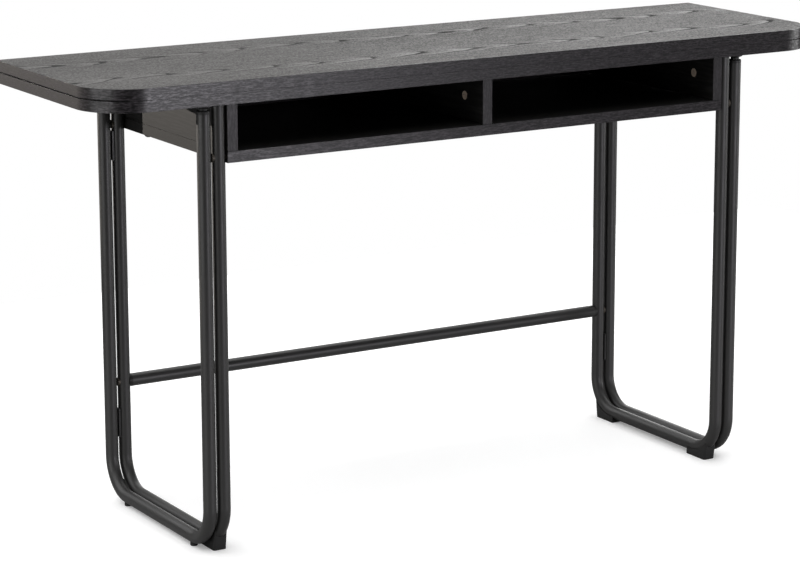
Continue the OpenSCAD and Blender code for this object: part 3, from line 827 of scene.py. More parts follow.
class Shape:
    """A closed mesh in the making, in the frame's own axes."""

    def __init__(self) -> None:
        """Starts an empty shape."""
        self.bm = bmesh.new()

    @classmethod
    def turned(cls, profile: Sequence[tuple[float, float]], steps: int = 48) -> "Shape":
        """Turns a profile of radius and height about Z.

        Args:
            profile: Points from the bottom of the axis to its top.
            steps: Number of steps round the turn.

        Returns:
            The turned shape, standing on the origin.
        """
        shape = cls()
        verts = [shape.bm.verts.new((r, 0.0, z)) for r, z in profile]
        edges = [shape.bm.edges.new(pair) for pair in zip(verts, verts[1:])]
        bmesh.ops.spin(
            shape.bm, geom=verts + edges, cent=(0, 0, 0), axis=(0, 0, 1), dvec=(0, 0, 0),
            angle=math.tau, steps=steps, use_merge=True,
        )
        return shape.tidy()

    @classmethod
    def from_node(cls, name: str) -> "Shape":
        """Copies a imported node, with its loose triangles merged into whole faces.

        Args:
            name: Name of the node.

        Returns:
            The merged copy.
        """
        shape = cls()
        shape.bm.from_mesh(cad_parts[name].data)
        for layer in list(shape.bm.loops.layers.uv):
            shape.bm.loops.layers.uv.remove(layer)
        bmesh.ops.remove_doubles(shape.bm, verts=shape.bm.verts, dist=NODE_WELD)
        bmesh.ops.dissolve_limit(
            shape.bm, angle_limit=FLAT_ANGLE, verts=shape.bm.verts, edges=shape.bm.edges,
        )
        return shape

    def tidy(self) -> "Shape":
        """Merges doubled points and turns every face outwards.

        Returns:
            This shape.
        """
        bmesh.ops.remove_doubles(self.bm, verts=self.bm.verts, dist=SHAPE_WELD)
        bmesh.ops.recalc_face_normals(self.bm, faces=self.bm.faces)
        return self

    def close(self) -> "Shape":
        """Fills every open loop and turns the faces outwards.

        Returns:
            This shape.
        """
        rims = [e for e in self.bm.edges if e.is_boundary]
        bmesh.ops.holes_fill(self.bm, edges=rims, sides=0)
        return self.tidy()

    def cut(self, point: Vector, keep: Vector, clear: bool) -> None:
        """Cuts every face at a plane.

        Args:
            point: Point in the plane.
            keep: Direction of the side that stays.
            clear: Whether the other side goes.
        """
        geometry = list(self.bm.verts) + list(self.bm.edges) + list(self.bm.faces)
        bmesh.ops.bisect_plane(
            self.bm, geom=geometry, plane_co=point, plane_no=keep, clear_inner=clear
        )

    def trim(self, point: Vector, keep: Vector) -> "Shape":
        """Cuts the shape off flat and closes the cut.

        Args:
            point: Point in the plane of the cut.
            keep: Direction of the side that stays.

        Returns:
            This shape.
        """
        self.cut(point, keep, clear=True)
        return self.close()

    def ease(self, width: float, sharper_than: float = SQUARE_EDGE) -> "Shape":
        """Rounds the sharp edges.

        Args:
            width: Width of the rounding.
            sharper_than: Least angle of an edge that is rounded, in degrees.

        Returns:
            This shape.
        """
        limit = math.radians(sharper_than)
        edges = [
            e for e in self.bm.edges
            if len(e.link_faces) == 2 and e.calc_face_angle(0.0) > limit
        ]
        if edges:
            bmesh.ops.bevel(
                self.bm, geom=edges, offset=width, offset_type="OFFSET", segments=EASE_STEPS,
                profile=0.5, affect="EDGES", clamp_overlap=True, material=-1,
            )
        return self

    def place(self, matrix: Matrix) -> "Shape":
        """Moves, turns or mirrors the whole shape.

        Args:
            matrix: Transform to apply.

        Returns:
            This shape, with its faces outwards.
        """
        bmesh.ops.transform(self.bm, matrix=matrix, verts=self.bm.verts)
        if matrix.determinant() < 0:
            bmesh.ops.reverse_faces(self.bm, faces=self.bm.faces)
        return self

    def add(self, *others: "Shape") -> "Shape":
        """Takes in other shapes, which are used up.

        Args:
            others: Shapes to take in.

        Returns:
            This shape.
        """
        for other in others:
            mesh = bpy.data.meshes.new("part")
            other.bm.to_mesh(mesh)
            other.bm.free()
            self.bm.from_mesh(mesh)
            bpy.data.meshes.remove(mesh)
        return self

    def piece(
        self,
        name: str,
        finish: Finish,
        body: str,
        replaces: Iterable[str] = (),
        second: Finish | None = None,
        second_faces: Callable[[bmesh.types.BMFace], bool] = lambda face: False,
    ) -> bpy.types.Object:
        """Makes the shape a piece of the object.

        Args:
            name: Name of the piece.
            finish: Finish of the piece.
            body: Body that it moves with.
            replaces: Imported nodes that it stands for.
            second: Finish of some of the faces, where they have their own.
            second_faces: Test for those faces.

        Returns:
            The new object.
        """
        for face in self.bm.faces:
            face.smooth = True
            face.material_index = int(second is not None and second_faces(face))
        for edge in self.bm.edges:
            edge.smooth = len(edge.link_faces) != 2 or edge.calc_face_angle(0.0) < SHARP_ANGLE
        mesh = bpy.data.meshes.new(name)
        self.bm.to_mesh(mesh)
        self.bm.free()
        mesh.materials.append(finish.material())
        if second is not None:
            mesh.materials.append(second.material())
        piece = bpy.data.objects.new(name, mesh)
        bpy.context.scene.collection.objects.link(piece)
        weighted = piece.modifiers.new("Even shading", "WEIGHTED_NORMAL")
        weighted.keep_sharp = True
        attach(piece, body)
        nodes = tuple(replaces)
        if nodes:
            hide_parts(*nodes)
        LOG.info("%s: %d faces, on %s", name, len(mesh.polygons), body)
        return piece


# Layout


@dataclass(frozen=True)
class Layout:
    """Places of the tubes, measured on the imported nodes.

    Attributes:
        tube_r: Outer radius of the tubes.
        frame_x: Place of the right fixed frame along the table.
        gate_x: Place of the right gate frame along the table.
        leg_y: Distance of the legs from the middle of the table, front and back.
        run_z: Height of the middle of the frames' runs along the floor.
        frame_top: Height of the ends of the fixed legs.
        gate_top: Height of the ends of the gate legs.
        bend_r: Radius of the bends, to the middle of the tube.
    """

    tube_r: float
    frame_x: float
    gate_x: float
    leg_y: float
    run_z: float
    frame_top: float
    gate_top: float
    bend_r: float = 60 * MM

    @classmethod
    def measure(cls) -> "Layout":
        """Reads the layout off the frames' boxes.

        Returns:
            The layout.
        """
        low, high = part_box("frame_right")
        gate_low, gate_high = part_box("gate_right")
        radius = (high.x - low.x) / 2
        return cls(
            tube_r=radius,
            frame_x=(low.x + high.x) / 2,
            gate_x=(gate_low.x + gate_high.x) / 2,
            leg_y=high.y - radius,
            run_z=low.z + radius,
            frame_top=high.z,
            gate_top=gate_high.z,
        )

    @property
    def bend_y(self) -> float:
        """Distance of the bends' middles from the middle of the table."""
        return self.leg_y - self.bend_r

    @property
    def bend_z(self) -> float:
        """Height of the bends' middles."""
        return self.run_z + self.bend_r


# Sub-assemblies


@dataclass
class TubeFrame:
    """U frame of bent tube, with its run along the floor.

    Attributes:
        layout: Places of the tubes.
        sides: Number of faces round a tube.
        bend_steps: Number of steps in a bend.
    """

    layout: Layout
    sides: int = 40
    bend_steps: int = 20

    def bend(self, x: float, top: float) -> Shape:
        """Bends one tube from the top of its front leg to the top of its back leg.

        Args:
            x: Place of the frame along the table.
            top: Height of the ends of its legs.

        Returns:
            The closed tube.
        """
        at = self.layout
        shape = Shape()
        start = bmesh.ops.create_circle(
            shape.bm, cap_ends=False, segments=self.sides, radius=at.tube_r,
            matrix=shift(x, -at.leg_y, top),
        )
        ring = start["verts"] + list({e for v in start["verts"] for e in v.link_edges})
        ring = self._straight(shape, ring, Vector((0, 0, at.bend_z - top)))
        ring = self._quarter(shape, ring, Vector((x, -at.bend_y, at.bend_z)))
        ring = self._straight(shape, ring, Vector((0, 2 * at.bend_y, 0)))
        ring = self._quarter(shape, ring, Vector((x, at.bend_y, at.bend_z)))
        self._straight(shape, ring, Vector((0, 0, top - at.bend_z)))
        return shape.close()

    def _straight(self, shape: Shape, ring: Ring, along: Vector) -> Ring:
        """Draws a ring out along a straight stretch.

        Args:
            shape: Tube in the making.
            ring: Points and edges of the open end.
            along: Way from the start of the stretch to its end.

        Returns:
            The points and edges of the new open end.
        """
        edges = [g for g in ring if isinstance(g, bmesh.types.BMEdge)]
        made = bmesh.ops.extrude_edge_only(shape.bm, edges=edges)["geom"]
        verts = [g for g in made if isinstance(g, bmesh.types.BMVert)]
        bmesh.ops.translate(shape.bm, verts=verts, vec=along)
        return [g for g in made if not isinstance(g, bmesh.types.BMFace)]

    def _quarter(self, shape: Shape, ring: Ring, middle: Vector) -> Ring:
        """Turns a ring through a quarter bend.

        Args:
            shape: Tube in the making.
            ring: Points and edges of the open end.
            middle: Middle of the bend.

        Returns:
            The points and edges of the new open end.
        """
        made = bmesh.ops.spin(
            shape.bm, geom=ring, cent=middle, axis=(1, 0, 0), dvec=(0, 0, 0),
            angle=math.radians(90), steps=self.bend_steps, use_merge=False,
        )
        return made["geom_last"]


@dataclass
class CornerFoot:
    """Moulded foot that cradles a bend of a fixed frame and rises in two ears at its outer end.

    Attributes:
        layout: Places of the tubes.
        length: Length of the foot on the floor.
        lean: How much longer it is at its full height.
        rise: How far the full height stays below the middle of the bend, in bend radii.
        wrap: How far the sides come up round the tube, from the tube's outer side.
        corner: Radius of the two outer corners on plan.
        clearance: Gap between the cradle and the tube.
        edge: Width of the rounded edges.
        edge_angle: Least angle of an edge that is rounded, in degrees.
        rows: Number of grid faces along the foot.
        columns: Number of grid faces across it.
        crowding: Power that crowds the columns towards the sides.
        rounds: How many times the lean is worked out from the height, and the height from it.
    """

    layout: Layout
    length: float = 52 * MM
    lean: float = 7 * MM
    rise: float = 0.42
    wrap: float = 7 * MM
    corner: float = 3 * MM
    clearance: float = 0.05 * MM
    edge: float = 0.35 * MM
    edge_angle: float = 40.0
    rows: int = 40
    columns: int = 24
    crowding: float = 0.7
    rounds: int = 6

    def mould(self, node: str) -> Shape:
        """Moulds the right back foot: a grid is laid on the cradle and drawn down to the floor.

        Args:
            node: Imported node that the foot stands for.

        Returns:
            The foot under the right back bend.
        """
        low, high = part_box(node)
        half = (high.x - low.x) / 2
        inner = min(abs(low.y), abs(high.y))
        full = self.layout.bend_z - self.rise * self.layout.bend_r
        shape = Shape()
        bmesh.ops.create_grid(
            shape.bm, x_segments=self.columns, y_segments=self.rows, size=0.5
        )
        top = list(shape.bm.verts)
        rim = [e for e in shape.bm.edges if e.is_boundary]
        walls = bmesh.ops.extrude_edge_only(shape.bm, edges=rim)["geom"]
        base = {g for g in walls if isinstance(g, bmesh.types.BMVert)}
        for vert in top:
            across, along = self._plan(vert.co, half)
            y = inner + along * self.length
            for _ in range(self.rounds):
                height = self._cradle(across, y)
                y = inner + along * (self.length + self.lean * height / full)
            vert.co = (across, y, height)
        for vert in base:
            across, along = self._plan(vert.co, half)
            vert.co = (across, inner + along * self.length, 0.0)
        shape.close()
        shape.ease(self.edge, self.edge_angle)
        return shape.place(shift(self.layout.frame_x))

    def _plan(self, point: Vector, half: float) -> tuple[float, float]:
        """Lays a point of the unit grid on the plan of the foot, which has round corners.

        Args:
            point: Point of the grid, which is crowded towards the foot's sides.
            half: Half the width of the foot.

        Returns:
            The place across in metres, and the place along from 0 to 1.
        """
        spread = math.copysign(abs(2 * point.x) ** self.crowding, point.x)
        along = point.y + 0.5
        past = max(0.0, along * self.length - (self.length - self.corner))
        narrower = self.corner - math.sqrt(max(0.0, self.corner**2 - past**2))
        return spread * (half - narrower), along

    def _cradle(self, across: float, y: float) -> float:
        """Height of the foot's upper side at one place under the bend.

        Args:
            across: Place across, from the middle of the frame's tube.
            y: Place from the front of the table to its back.

        Returns:
            The height above the floor.
        """
        at = self.layout
        radius = at.tube_r + self.clearance
        inside = math.sqrt(max(0.0, radius**2 - across**2))
        outward = y - at.bend_y
        reach = max(at.bend_r + inside, at.bend_r + at.tube_r - self.wrap)
        if at.bend_r + inside >= reach:
            outward = max(0.0, outward)
        return at.bend_z - math.sqrt(max(0.0, reach**2 - outward**2))


@dataclass
class TurnedParts:
    """Round mouldings and screws, each turned from its profile.

    Attributes:
        layout: Places of the tubes.
        shank_inset: How far a stopper's shank lies inside the outer side of the tube.
        shank_depth: How far it reaches into the tube.
        plug_round: Rounding of a plug's lip.
        cap_round: Rounding of a cap's shoulder.
        glide_seat: How far a glide stays below the middle of the run, in tube radii.
        glide_round: Rounding of a glide's lower edge.
        glide_step: How much slimmer its upper part is.
        glide_taper: Shares of its height between which it gets slimmer.
        pad_neck: Radius of a pad's neck.
        pad_flare: Radius of the hollow between neck and disc.
        pad_disc: Thickness of the disc.
        pad_taper: Width of the slope on the underside of the disc's rim.
        pad_taper_rise: Share of the disc's thickness at which the slope starts.
        pad_round: Rounding of the disc's upper edge.
        pad_rim: Height of the upright rim between slope and rounding.
        screw_shank: Radius of a dome-headed screw's shank.
        socket_width: Radius of its socket, as a share of the head's.
        socket_depth: Depth of its socket, as a share of the head's height.
        screw_sides: Number of faces round a screw.
    """

    layout: Layout
    shank_inset: float = 1.6 * MM
    shank_depth: float = 14 * MM
    plug_round: float = 0.6 * MM
    cap_round: float = 1.8 * MM
    glide_seat: float = 0.55
    glide_round: float = 1.2 * MM
    glide_step: float = 0.5 * MM
    glide_taper: tuple[float, float] = (0.55, 0.6)
    pad_neck: float = 7.35 * MM
    pad_flare: float = 1.0 * MM
    pad_disc: float = 3.6 * MM
    pad_taper: float = 1.5 * MM
    pad_taper_rise: float = 0.35
    pad_round: float = 0.9 * MM
    pad_rim: float = 0.6 * MM
    screw_shank: float = 2.5 * MM
    socket_width: float = 0.42
    socket_depth: float = 0.45
    screw_sides: int = 36

    def glide(self, node: str) -> Shape:
        """Round glide under a gate frame, with its middle on the Z axis.

        Args:
            node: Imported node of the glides.

        Returns:
            The glide, standing on the floor.
        """
        low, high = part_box(node)
        radius, soft = (high.x - low.x) / 2, self.glide_round
        slim = radius - self.glide_step
        top = self.layout.run_z - self.layout.tube_r * self.glide_seat
        wide_up_to, slim_from = (top * share for share in self.glide_taper)
        profile = [(0, 0), *arc((radius - soft, soft), soft, -90, 0, steps=5)]
        profile += [(radius, wide_up_to), (slim, slim_from), (slim, top), (0, top)]
        return Shape.turned(profile)

    def cap(self, height: float) -> Shape:
        """Cap in the top of a gate leg, with a rounded shoulder.

        Args:
            height: Height above the end of the tube.

        Returns:
            The cap, on the end of the tube at z = 0.
        """
        return self._stopper(height, self.cap_round, steps=6)

    def plug(self, height: float) -> Shape:
        """Plug in the top of a fixed leg, with a thin lip.

        Args:
            height: Height of the lip.

        Returns:
            The plug, on the end of the tube at z = 0.
        """
        return self._stopper(height, self.plug_round, steps=4)

    def _stopper(self, height: float, soft: float, steps: int) -> Shape:
        """Round stopper with a shank inside the tube and a head as wide as the tube.

        Args:
            height: Height of the head.
            soft: Radius of the rounding on the head.
            steps: Number of steps in the rounding.

        Returns:
            The stopper, on the end of the tube at z = 0.
        """
        outer = self.layout.tube_r
        shank, bottom = outer - self.shank_inset, -self.shank_depth
        profile = [(0, bottom), (shank, bottom), (shank, 0.0), (outer, 0.0)]
        profile += arc((outer - soft, height - soft), soft, 0, 90, steps)
        profile += [(0, height)]
        return Shape.turned(profile)

    def pad(self, low: float, high: float, radius: float) -> Shape:
        """Screw-in pad: a neck that flares into a flat disc with a rounded rim.

        Args:
            low: Height of the foot of the neck.
            high: Height of the upper face.
            radius: Radius of the disc.

        Returns:
            The pad.
        """
        neck, flare, soft = self.pad_neck, self.pad_flare, self.pad_round
        shoulder = high - self.pad_disc
        profile = [(0, low), (neck, low), (neck, shoulder - flare)]
        profile += arc((neck + flare, shoulder - flare), flare, 180, 90, steps=4)[1:]
        profile += [(radius - self.pad_taper, shoulder + self.pad_disc * self.pad_taper_rise)]
        profile += [(radius, high - soft - self.pad_rim)]
        profile += arc((radius - soft, high - soft), soft, 0, 90, steps=5)
        profile += [(0, high)]
        return Shape.turned(profile)

    def dome_screw(self, radius: float, height: float, length: float) -> Shape:
        """Screw with a domed head and a socket, its head hanging below z = 0.

        Args:
            radius: Radius of the head.
            height: Height of the head.
            length: Length of the shank above z = 0.

        Returns:
            The screw.
        """
        ball = (radius**2 + height**2) / (2 * height)
        spread = math.degrees(math.asin(radius / ball))
        if height > ball:
            spread = 180 - spread
        socket, floor = radius * self.socket_width, height * self.socket_depth - height
        start = math.degrees(math.asin(socket / ball))
        profile = [(0, floor), (socket, floor)]
        profile += arc((0, ball - height), ball, -90 + start, -90 + spread, steps=10)
        profile += [(self.screw_shank, 0.0), (self.screw_shank, length), (0, length)]
        return Shape.turned(profile, self.screw_sides)


@dataclass
class TableTop:
    """Two leaves with their edging, their bumpers and the hinges between them.

    Attributes:
        corner: Radius of the leaves' front corners.
        packed_arris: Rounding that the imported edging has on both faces.
        crisp_arris: Rounding towards the other leaf.
        open_arris: The same at the ends of the upper leaf, where the line between them shows.
        face_arris: Rounding towards the outer face.
        lip: How far the front stands out towards the other leaf.
        lip_end: Share of the corner in which the lip fades out.
        hinge_margin: Stretch next to the hinge edge that keeps its packed form.
        hair: Slack in telling which points belong to a rounding.
    """

    corner: float = 85 * MM
    packed_arris: float = 1.0 * MM
    crisp_arris: float = 0.15 * MM
    open_arris: float = 1.7 * MM
    face_arris: float = 0.3 * MM
    lip: float = 0.4 * MM
    lip_end: float = 0.4
    hinge_margin: float = 15 * MM
    hair: float = 0.01 * MM

    def dress(self) -> None:
        """Dresses the faces of the leaves, the bumpers and the leaf hinges."""
        paint(TOP_FACE, "lower_leaf", "upper_leaf")
        paint(RUBBER, "leaf_bumpers")
        for part in ("leaf_hinge", "link", "flap_hinge"):
            paint(ZINC, f"{part}_left", f"{part}_middle", f"{part}_right")
        for part in ("leaf_hinge", "flap_hinge"):
            paint(ZINC, f"{part}_screws", f"{part}_pins")

    def build(self) -> None:
        """Builds the edging of both leaves."""
        self._edge("lower_edging", TABLE, 1.0)
        self._edge("upper_edging", FOLDING_LEAF, -1.0)

    def _edge(self, node: str, body: str, inward: float) -> None:
        """Builds one edging with crisp arrises, whose front lip nearly meets the other leaf's.

        Args:
            node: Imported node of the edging.
            body: Body that the leaf is on.
            inward: 1 where the other leaf lies above this one, -1 where it lies below.
        """
        low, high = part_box(node)
        inner, outer = (high.z, low.z) if inward > 0 else (low.z, high.z)
        rear = high.y - self.hinge_margin
        shape = Shape.from_node(node)
        shape.cut(Vector((0.0, rear, 0.0)), Vector((0.0, 1.0, 0.0)), clear=False)
        for vert in shape.bm.verts:
            if vert.co.y > rear + self.hair:
                continue
            outward, depth, turn = self._rim(vert.co, high)
            fade = min(1.0, turn / self.lip_end)
            lip = self.lip * (1.0 - fade)
            meeting = self.crisp_arris
            if inward < 0:
                meeting += (self.open_arris - meeting) * fade
            for face, up, radius, proud in (
                (inner, inward, meeting, lip), (outer, -inward, self.face_arris, 0.0),
            ):
                deep = up * (face - vert.co.z)
                if deep > self.packed_arris + self.hair:
                    continue
                share = radius / self.packed_arris
                if depth < self.packed_arris + self.hair:
                    vert.co += outward * depth * (1.0 - share)
                    deep *= share
                vert.co.z = face + up * (proud - deep)
        shape.piece(node.replace("edging", "edge_band"), EDGE_BAND, body, [node])

    def _rim(self, point: Vector, half: Vector) -> tuple[Vector, float, float]:
        """Place of a point of the edging, measured from the outline of the leaf.

        Args:
            point: Point of the edging.
            half: Back right corner of the leaf.

        Returns:
            The direction outwards, the depth inside the outline, and the share of the corner
            that is behind the point, from 0 on the front to 1 on the end.
        """
        past = abs(point.x) - (half.x - self.corner)
        ahead = -point.y - (half.y - self.corner)
        side = math.copysign(1.0, point.x)
        if ahead <= 0.0:
            return Vector((side, 0.0, 0.0)), half.x - abs(point.x), 1.0
        if past <= 0.0:
            return Vector((0.0, -1.0, 0.0)), half.y + point.y, 0.0
        outward = Vector((side * past, -ahead, 0.0))
        turn = math.atan2(past, ahead) / math.radians(90)
        return outward.normalized(), self.corner - outward.length, turn


@dataclass
class StorageBox:
    """Shallow open box under the leaves, with its fittings.

    Attributes:
        layout: Places of the tubes.
        edge: Width of the boards' rounded edges.
        lock_edge: Width of the cam locks' rounded edges.
        seam: Height trimmed off the foot of each upright, which leaves a fine line there.
        facing: Least share of a face's normal that points to the front, where it is edged.
        front_area: Least area of a front that is edged.
        boards: Finish of each board.
    """

    layout: Layout
    edge: float = 0.45 * MM
    lock_edge: float = 0.3 * MM
    seam: float = 0.5 * MM
    facing: float = 0.99
    front_area: float = 1000 * MM * MM
    boards: dict[str, Finish] = field(default_factory=lambda: {
        "box_bottom": BOARD_ALONG,
        "box_back": BOARD_ALONG,
        "box_left_end": BOARD_ACROSS,
        "box_right_end": BOARD_ACROSS,
        "box_divider": BOARD_ACROSS,
    })

    def dress(self) -> None:
        """Dresses the bolts, the inserts and the dowels."""
        paint(BOLT_STEEL, "box_bolts")
        paint(ZINC, "cam_bolts", "insert_nuts")
        paint(BEECH, "box_dowels")

    def build(self) -> None:
        """Builds the boards, the cam locks and the dome-headed screws."""
        for node, finish in self.boards.items():
            board = Shape.from_node(node)
            if node != "box_bottom":
                low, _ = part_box(node)
                board.trim(Vector((0.0, 0.0, low.z + self.seam)), Vector((0.0, 0.0, 1.0)))
            board.ease(self.edge)
            front = EDGE_BAND if node == "box_bottom" else EDGE_UPRIGHT
            board.piece(
                node.replace("box_", "board_"), finish, TABLE, [node], front,
                lambda face: face.normal.y < -self.facing and face.calc_area() > self.front_area,
            )
        locks = Shape.from_node("cam_locks").ease(self.lock_edge)
        locks.piece("cam_lock_set", CAM_ZINC, TABLE, ["cam_locks"])
        self._screws("box_screws")

    def _screws(self, node: str) -> None:
        """Builds the dome-headed screws under the bottom board.

        Args:
            node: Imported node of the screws.
        """
        low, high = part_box(node)
        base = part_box("box_bottom")[0].z
        end_low, end_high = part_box("box_right_end")
        column = (end_low.x + end_high.x) / 2
        radius = high.x - column
        row = high.y - radius
        parts = TurnedParts(self.layout)
        shape = Shape()
        for x in (-column, 0.0, column):
            for y in (-row, row):
                screw = parts.dome_screw(radius, base - low.z, high.z - base)
                shape.add(screw.place(shift(x, y, base)))
        shape.piece("dome_screws", BLACK_STEEL, TABLE, [node])


@dataclass
class FixedFrames:
    """Two frames that carry the box, with their feet, plugs, stretcher and hinge plates.

    Attributes:
        layout: Places of the tubes.
        plate_edge: Width of the hinge plates' rounded edges.
        plug_edge: Width of the stretcher plugs' rounded edges.
        stretcher_sides: Number of faces round the stretcher.
    """

    layout: Layout
    plate_edge: float = 0.2 * MM
    plug_edge: float = 0.25 * MM
    stretcher_sides: int = 40

    def dress(self) -> None:
        """Dresses the bolts, the screws and the pins of the gate hinges."""
        paint(BOLT_STEEL, "stretcher_bolts")
        paint(BLACK_STEEL, "foot_screws", "fixed_hinge_screws")
        paint(ZINC, "gate_hinge_pins")

    def build(self) -> None:
        """Builds every piece of both fixed frames."""
        at = self.layout
        bender = TubeFrame(at)
        foot = CornerFoot(at)
        for side in Side:
            node = f"frame_{side.word}"
            tube = bender.bend(side.value * at.frame_x, at.frame_top)
            tube.piece(f"tube_{node}", TUBE_COAT, TABLE, [node])
            node = f"hinge_plates_{side.word}"
            plates = Shape.from_node(node).ease(self.plate_edge)
            plates.piece(f"butts_{side.word}_fixed", TUBE_COAT, TABLE, [node])
            for end in End:
                shape = foot.mould("foot_right_back")
                if side is Side.LEFT:
                    shape.place(flip("X"))
                if end is End.FRONT:
                    shape.place(flip("Y"))
                name = f"{side.word}_{end.word}"
                shape.piece(f"corner_{name}", BLACK_PLASTIC, TABLE, [f"foot_{name}"])
        self._plugs()
        self._stretcher()

    def _plugs(self) -> None:
        """Builds the four plugs in the tops of the legs."""
        at = self.layout
        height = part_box("frame_plugs")[1].z - at.frame_top
        shape = Shape()
        for side in Side:
            for end in End:
                plug = TurnedParts(at).plug(height)
                shape.add(plug.place(
                    shift(side.value * at.frame_x, end.value * at.leg_y, at.frame_top)
                ))
        shape.piece("leg_plugs", BLACK_PLASTIC, TABLE, ["frame_plugs"])

    def _stretcher(self) -> None:
        """Builds the stretcher between the back legs, and eases its end plugs."""
        low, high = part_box("stretcher")
        radius = (high.z - low.z) / 2
        length = high.x - low.x
        profile = [(0, 0), (radius, 0), (radius, length), (0, length)]
        tube = Shape.turned(profile, self.stretcher_sides)
        tube.place(shift(low.x, (low.y + high.y) / 2, (low.z + high.z) / 2) @ ACROSS_X)
        tube.piece("tube_stretcher", TUBE_COAT, TABLE, ["stretcher"])
        plugs = Shape.from_node("stretcher_plugs").ease(self.plug_edge)
        plugs.piece("stretcher_end_plugs", BLACK_PLASTIC, TABLE, ["stretcher_plugs"])


@dataclass
class GateFrame:
    """Frame that swings out to carry the unfolded leaf.

    Attributes:
        layout: Places of the tubes.
        side: Side of the table that the gate is on.
        plate_edge: Width of the hinge plates' rounded edges.
        pad_seat: Gap between a cap and the neck of its pad.
    """

    layout: Layout
    side: Side
    plate_edge: float = 0.2 * MM
    pad_seat: float = 0.2 * MM

    def dress(self) -> None:
        """Dresses the screws of the gate's hinges."""
        paint(BLACK_STEEL, f"gate_{self.side.word}_screws")

    def build(self) -> None:
        """Builds every piece of one gate."""
        at, side, body = self.layout, self.side, self.side.gate_body
        x = side.value * at.gate_x
        node = f"gate_{side.word}"
        TubeFrame(at).bend(x, at.gate_top).piece(f"tube_{node}", TUBE_COAT, body, [node])
        plates = Shape.from_node(f"{node}_hinge_plates").ease(self.plate_edge)
        plates.piece(f"butts_{side.word}_moving", TUBE_COAT, body, [f"{node}_hinge_plates"])
        cap_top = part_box(f"{node}_caps")[1].z - at.gate_top
        pad_low, pad_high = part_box(f"{node}_pads")
        radius = pad_high.x - x if side is Side.RIGHT else x - pad_low.x
        parts = TurnedParts(at)
        caps, pads, glides = Shape(), Shape(), Shape()
        for end in End:
            leg = shift(x, end.value * at.leg_y, at.gate_top)
            caps.add(parts.cap(cap_top).place(leg))
            pad = parts.pad(cap_top + self.pad_seat, pad_high.z - at.gate_top, radius)
            pads.add(pad.place(leg))
            glides.add(parts.glide(f"{node}_glides").place(shift(x, end.value * at.bend_y)))
        caps.piece(f"caps_{side.word}", BLACK_PLASTIC, body, [f"{node}_caps"])
        pads.piece(f"pads_{side.word}", BLACK_PLASTIC, body, [f"{node}_pads"])
        glides.piece(f"glides_{side.word}", BLACK_PLASTIC, body, [f"{node}_glides"])


# Studio


@dataclass(frozen=True)
class Softbox:
    """One lamp: a rectangle of light, or a narrow cone of it where it has one.

    Attributes:
        name: Name of the lamp.
        place: Where it hangs.
        aim: Point that it is turned to.
        size: Width and height of its face.
        power: Power in watts.
        tint: Colour of its light.
        cone: Angle of its cone in degrees, or 0 for a rectangle of light.
        cone_blend: Share of the cone over which its edge is soft.
    """

    name: str
    place: tuple[float, float, float]
    aim: tuple[float, float, float]
    size: tuple[float, float]
    power: float
    tint: tuple[float, float, float] = (1.0, 1.0, 1.0)
    cone: float = 0.0
    cone_blend: float = 0.5

    def hang(self) -> None:
        """Adds the lamp to the scene."""
        if self.cone:
            light = bpy.data.lights.new(self.name, "SPOT")
            light.spot_size = math.radians(self.cone)
            light.spot_blend = self.cone_blend
            light.shadow_soft_size = self.size[1] / 2
        else:
            light = bpy.data.lights.new(self.name, "AREA")
            light.shape = "RECTANGLE"
            light.size, light.size_y = self.size
        light.energy = self.power
        light.color = self.tint
        lamp = bpy.data.objects.new(self.name, light)
        lamp.visible_camera = False
        lamp.location = self.place
        lamp.rotation_euler = (
            (Vector(self.aim) - Vector(self.place)).to_track_quat("-Z", "Y").to_euler()
        )
        bpy.context.scene.collection.objects.link(lamp)


